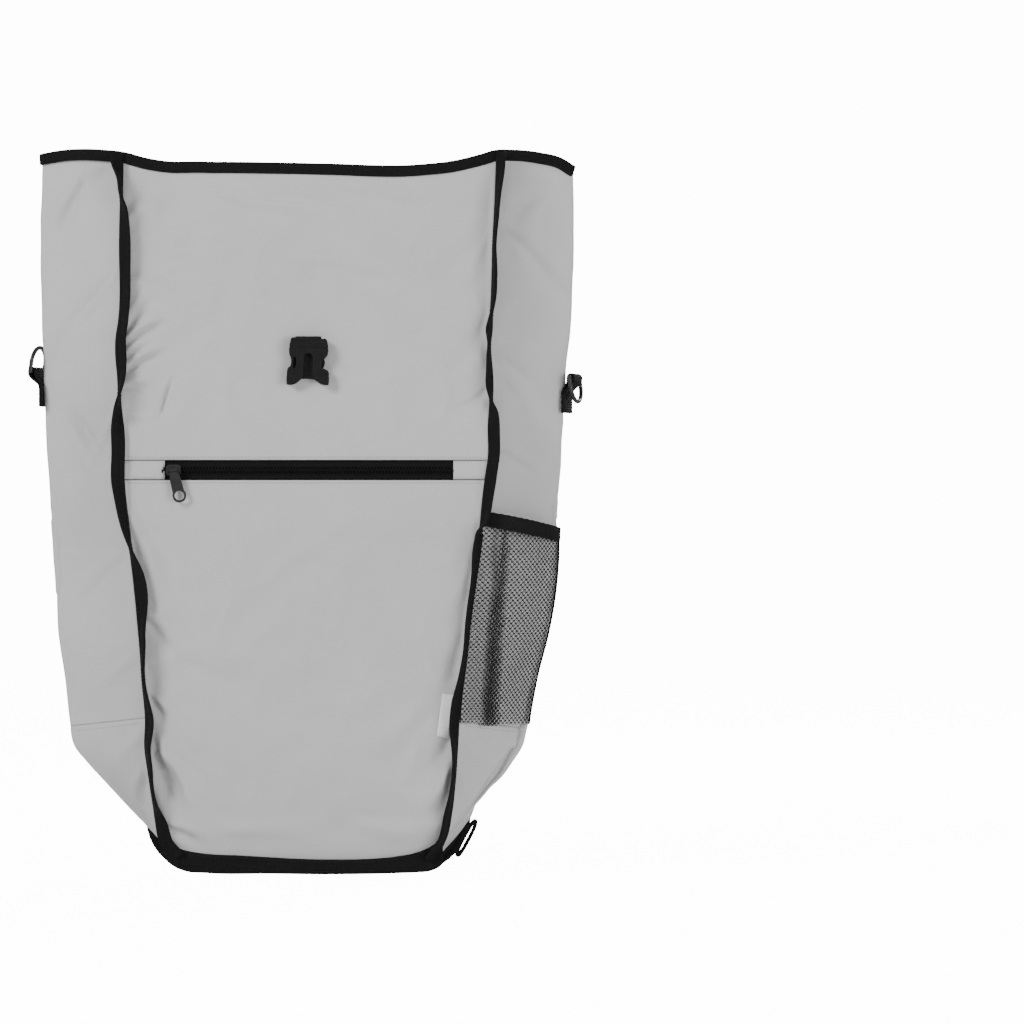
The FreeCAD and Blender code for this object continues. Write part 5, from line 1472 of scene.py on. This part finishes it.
socket.data.transform(Matrix.Translation(SOCKET_SHIFT * MM))
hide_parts("buckle_socket")
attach(socket, "socket")

wall_y = float(front_y(BAR_Z))
turn = [(0, BAR_Y + 3.4 * math.cos(a), BAR_Z + 3.4 * math.sin(a)) for a in np.linspace(-0.6, 5.2, 20)]
hold = [(0, wall_y - 3.0, 470), (0, wall_y - 3.1, 488), (0, wall_y - 3.6, 497)]
path = resample(rounded(hold + turn, 2), 1.4) + SOCKET_SHIFT
strip("socket_strap", path, 24.2, 1.4, "bag", TO_RIGHT)
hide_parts("socket_webbing")


# ---------------------------------------------------------------- closure strap and plug
strap_y = [float(rear_y(v)) + 2.8 for v in (480, 505, 525)]
sewn = resample([(0, strap_y[0], 480), (0, strap_y[1], 505), (0, strap_y[2], 524.5)], 3)
sewn_strap = strip("closure_webbing", sewn, CLOSURE_W, CLOSURE_T, "bag", TO_RIGHT)
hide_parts("closure_strap")
box_rows = []
low_left, low_right, high_right, high_left = (-9.5, 484), (9.5, 484), (9.5, 503), (-9.5, 503)
for a, b in ((low_left, low_right), (low_right, high_right), (high_right, high_left),
             (high_left, low_left), (low_left, high_right), (high_left, low_right)):
    line = resample([(a[0], 0, a[1]), (b[0], 0, b[1])], 2)
    line[:, 1] = rear_y(line[:, 2]) + 3.6
    box_rows.append((line, facing(OUT_BACK, line)))
stitches("closure_thread", box_rows, black_thread, "bag", "webbing", pitch=3.0, length=2.4, radius=0.3)

knuckle_z = 528.0
knuckle_y = float(rear_y(knuckle_z)) + 5.7
turn = [(0, knuckle_y + 1.6 * math.cos(a), knuckle_z + 1.6 * math.sin(a)) for a in np.linspace(3.6, 0.0, 10)]
free = turn + [(0, knuckle_y + 1.9, 520), (0, 47.5, 500), (0, 50.2, 470), (0, 50.8, 446)]
path = resample(rounded(free, 2), 2.0)
tail = strip("closure_tail", path, CLOSURE_W, CLOSURE_T, "strap_end", TO_RIGHT)
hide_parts("closure_strap_end")


# ---------------------------------------------------------------- floor, light and camera
def lamp(name, place, target, size, power):
    """A soft square light that faces a point."""
    data = bpy.data.lights.new(name, "AREA")
    data.size = size
    data.energy = power
    obj = bpy.data.objects.new(name, data)
    obj.location = place
    obj.rotation_euler = (Vector(target) - Vector(place)).to_track_quat("-Z", "Y").to_euler()
    bpy.context.scene.collection.objects.link(obj)


# The floor and the air are white to the camera, but light the bag only a little.
FLOOR_GLOW, AIR_GLOW, AIR_LIGHT = 14.0, 14.0, 0.26
FLOOR_HALF = 8.0
floor_level = FOOT_Z - 0.001
mesh = bpy.data.meshes.new("studio")
corners = [(x * FLOOR_HALF, y * FLOOR_HALF, floor_level) for x, y in ((-1, -1), (1, -1), (1, 1), (-1, 1))]
mesh.from_pydata(corners, [], [(0, 1, 2, 3)])
studio = bpy.data.objects.new("studio", mesh)
bpy.context.scene.collection.objects.link(studio)
paint = Paint("studio_white")
paint.shader.inputs["Base Color"].default_value = (0.9, 0.9, 0.9, 1)
paint.set(rough=0.9, specular=0.1)
paint.shader.inputs["Emission Color"].default_value = (1, 1, 1, 1)
seen = paint.add("ShaderNodeLightPath").outputs["Is Camera Ray"]
paint.join(paint.math("MULTIPLY", seen, FLOOR_GLOW), paint.shader.inputs["Emission Strength"])
mesh.materials.append(paint.material)

world = bpy.data.worlds.new("studio_air")
world.use_nodes = True
air = world.node_tree
seen = air.nodes.new("ShaderNodeLightPath").outputs["Is Camera Ray"]
glow = air.nodes.new("ShaderNodeMapRange")
glow.inputs["To Min"].default_value = AIR_LIGHT
glow.inputs["To Max"].default_value = AIR_GLOW
air.links.new(seen, glow.inputs["Value"])
air.nodes["Background"].inputs[0].default_value = (1, 1, 1, 1)
air.links.new(glow.outputs[0], air.nodes["Background"].inputs[1])
bpy.context.scene.world = world

middle = at(0, -30, 340)
# Each lamp: name, place from the bag's middle in metres, size in metres, power in watts.
for name, away, size, power in (("key", (-2.5, -2.4, 1.9), 1.2, 114), ("fill", (2.4, -2.7, -0.1), 1.8, 98),
                                ("rear_key", (1.6, 2.3, 1.8), 1.2, 60)):
    lamp(name, middle + Vector(away), middle, size, power)

camera_data = bpy.data.cameras.new("camera")
camera_data.sensor_width = 36
camera_data.lens = 150
camera_data.clip_end = 50
camera = bpy.data.objects.new("camera", camera_data)
camera.location = at(EYE_X, -EYE_BACK, EYE_Z)
camera.rotation_euler = (math.pi / 2, 0, 0)
bpy.context.scene.collection.objects.link(camera)
bpy.context.scene.camera = camera
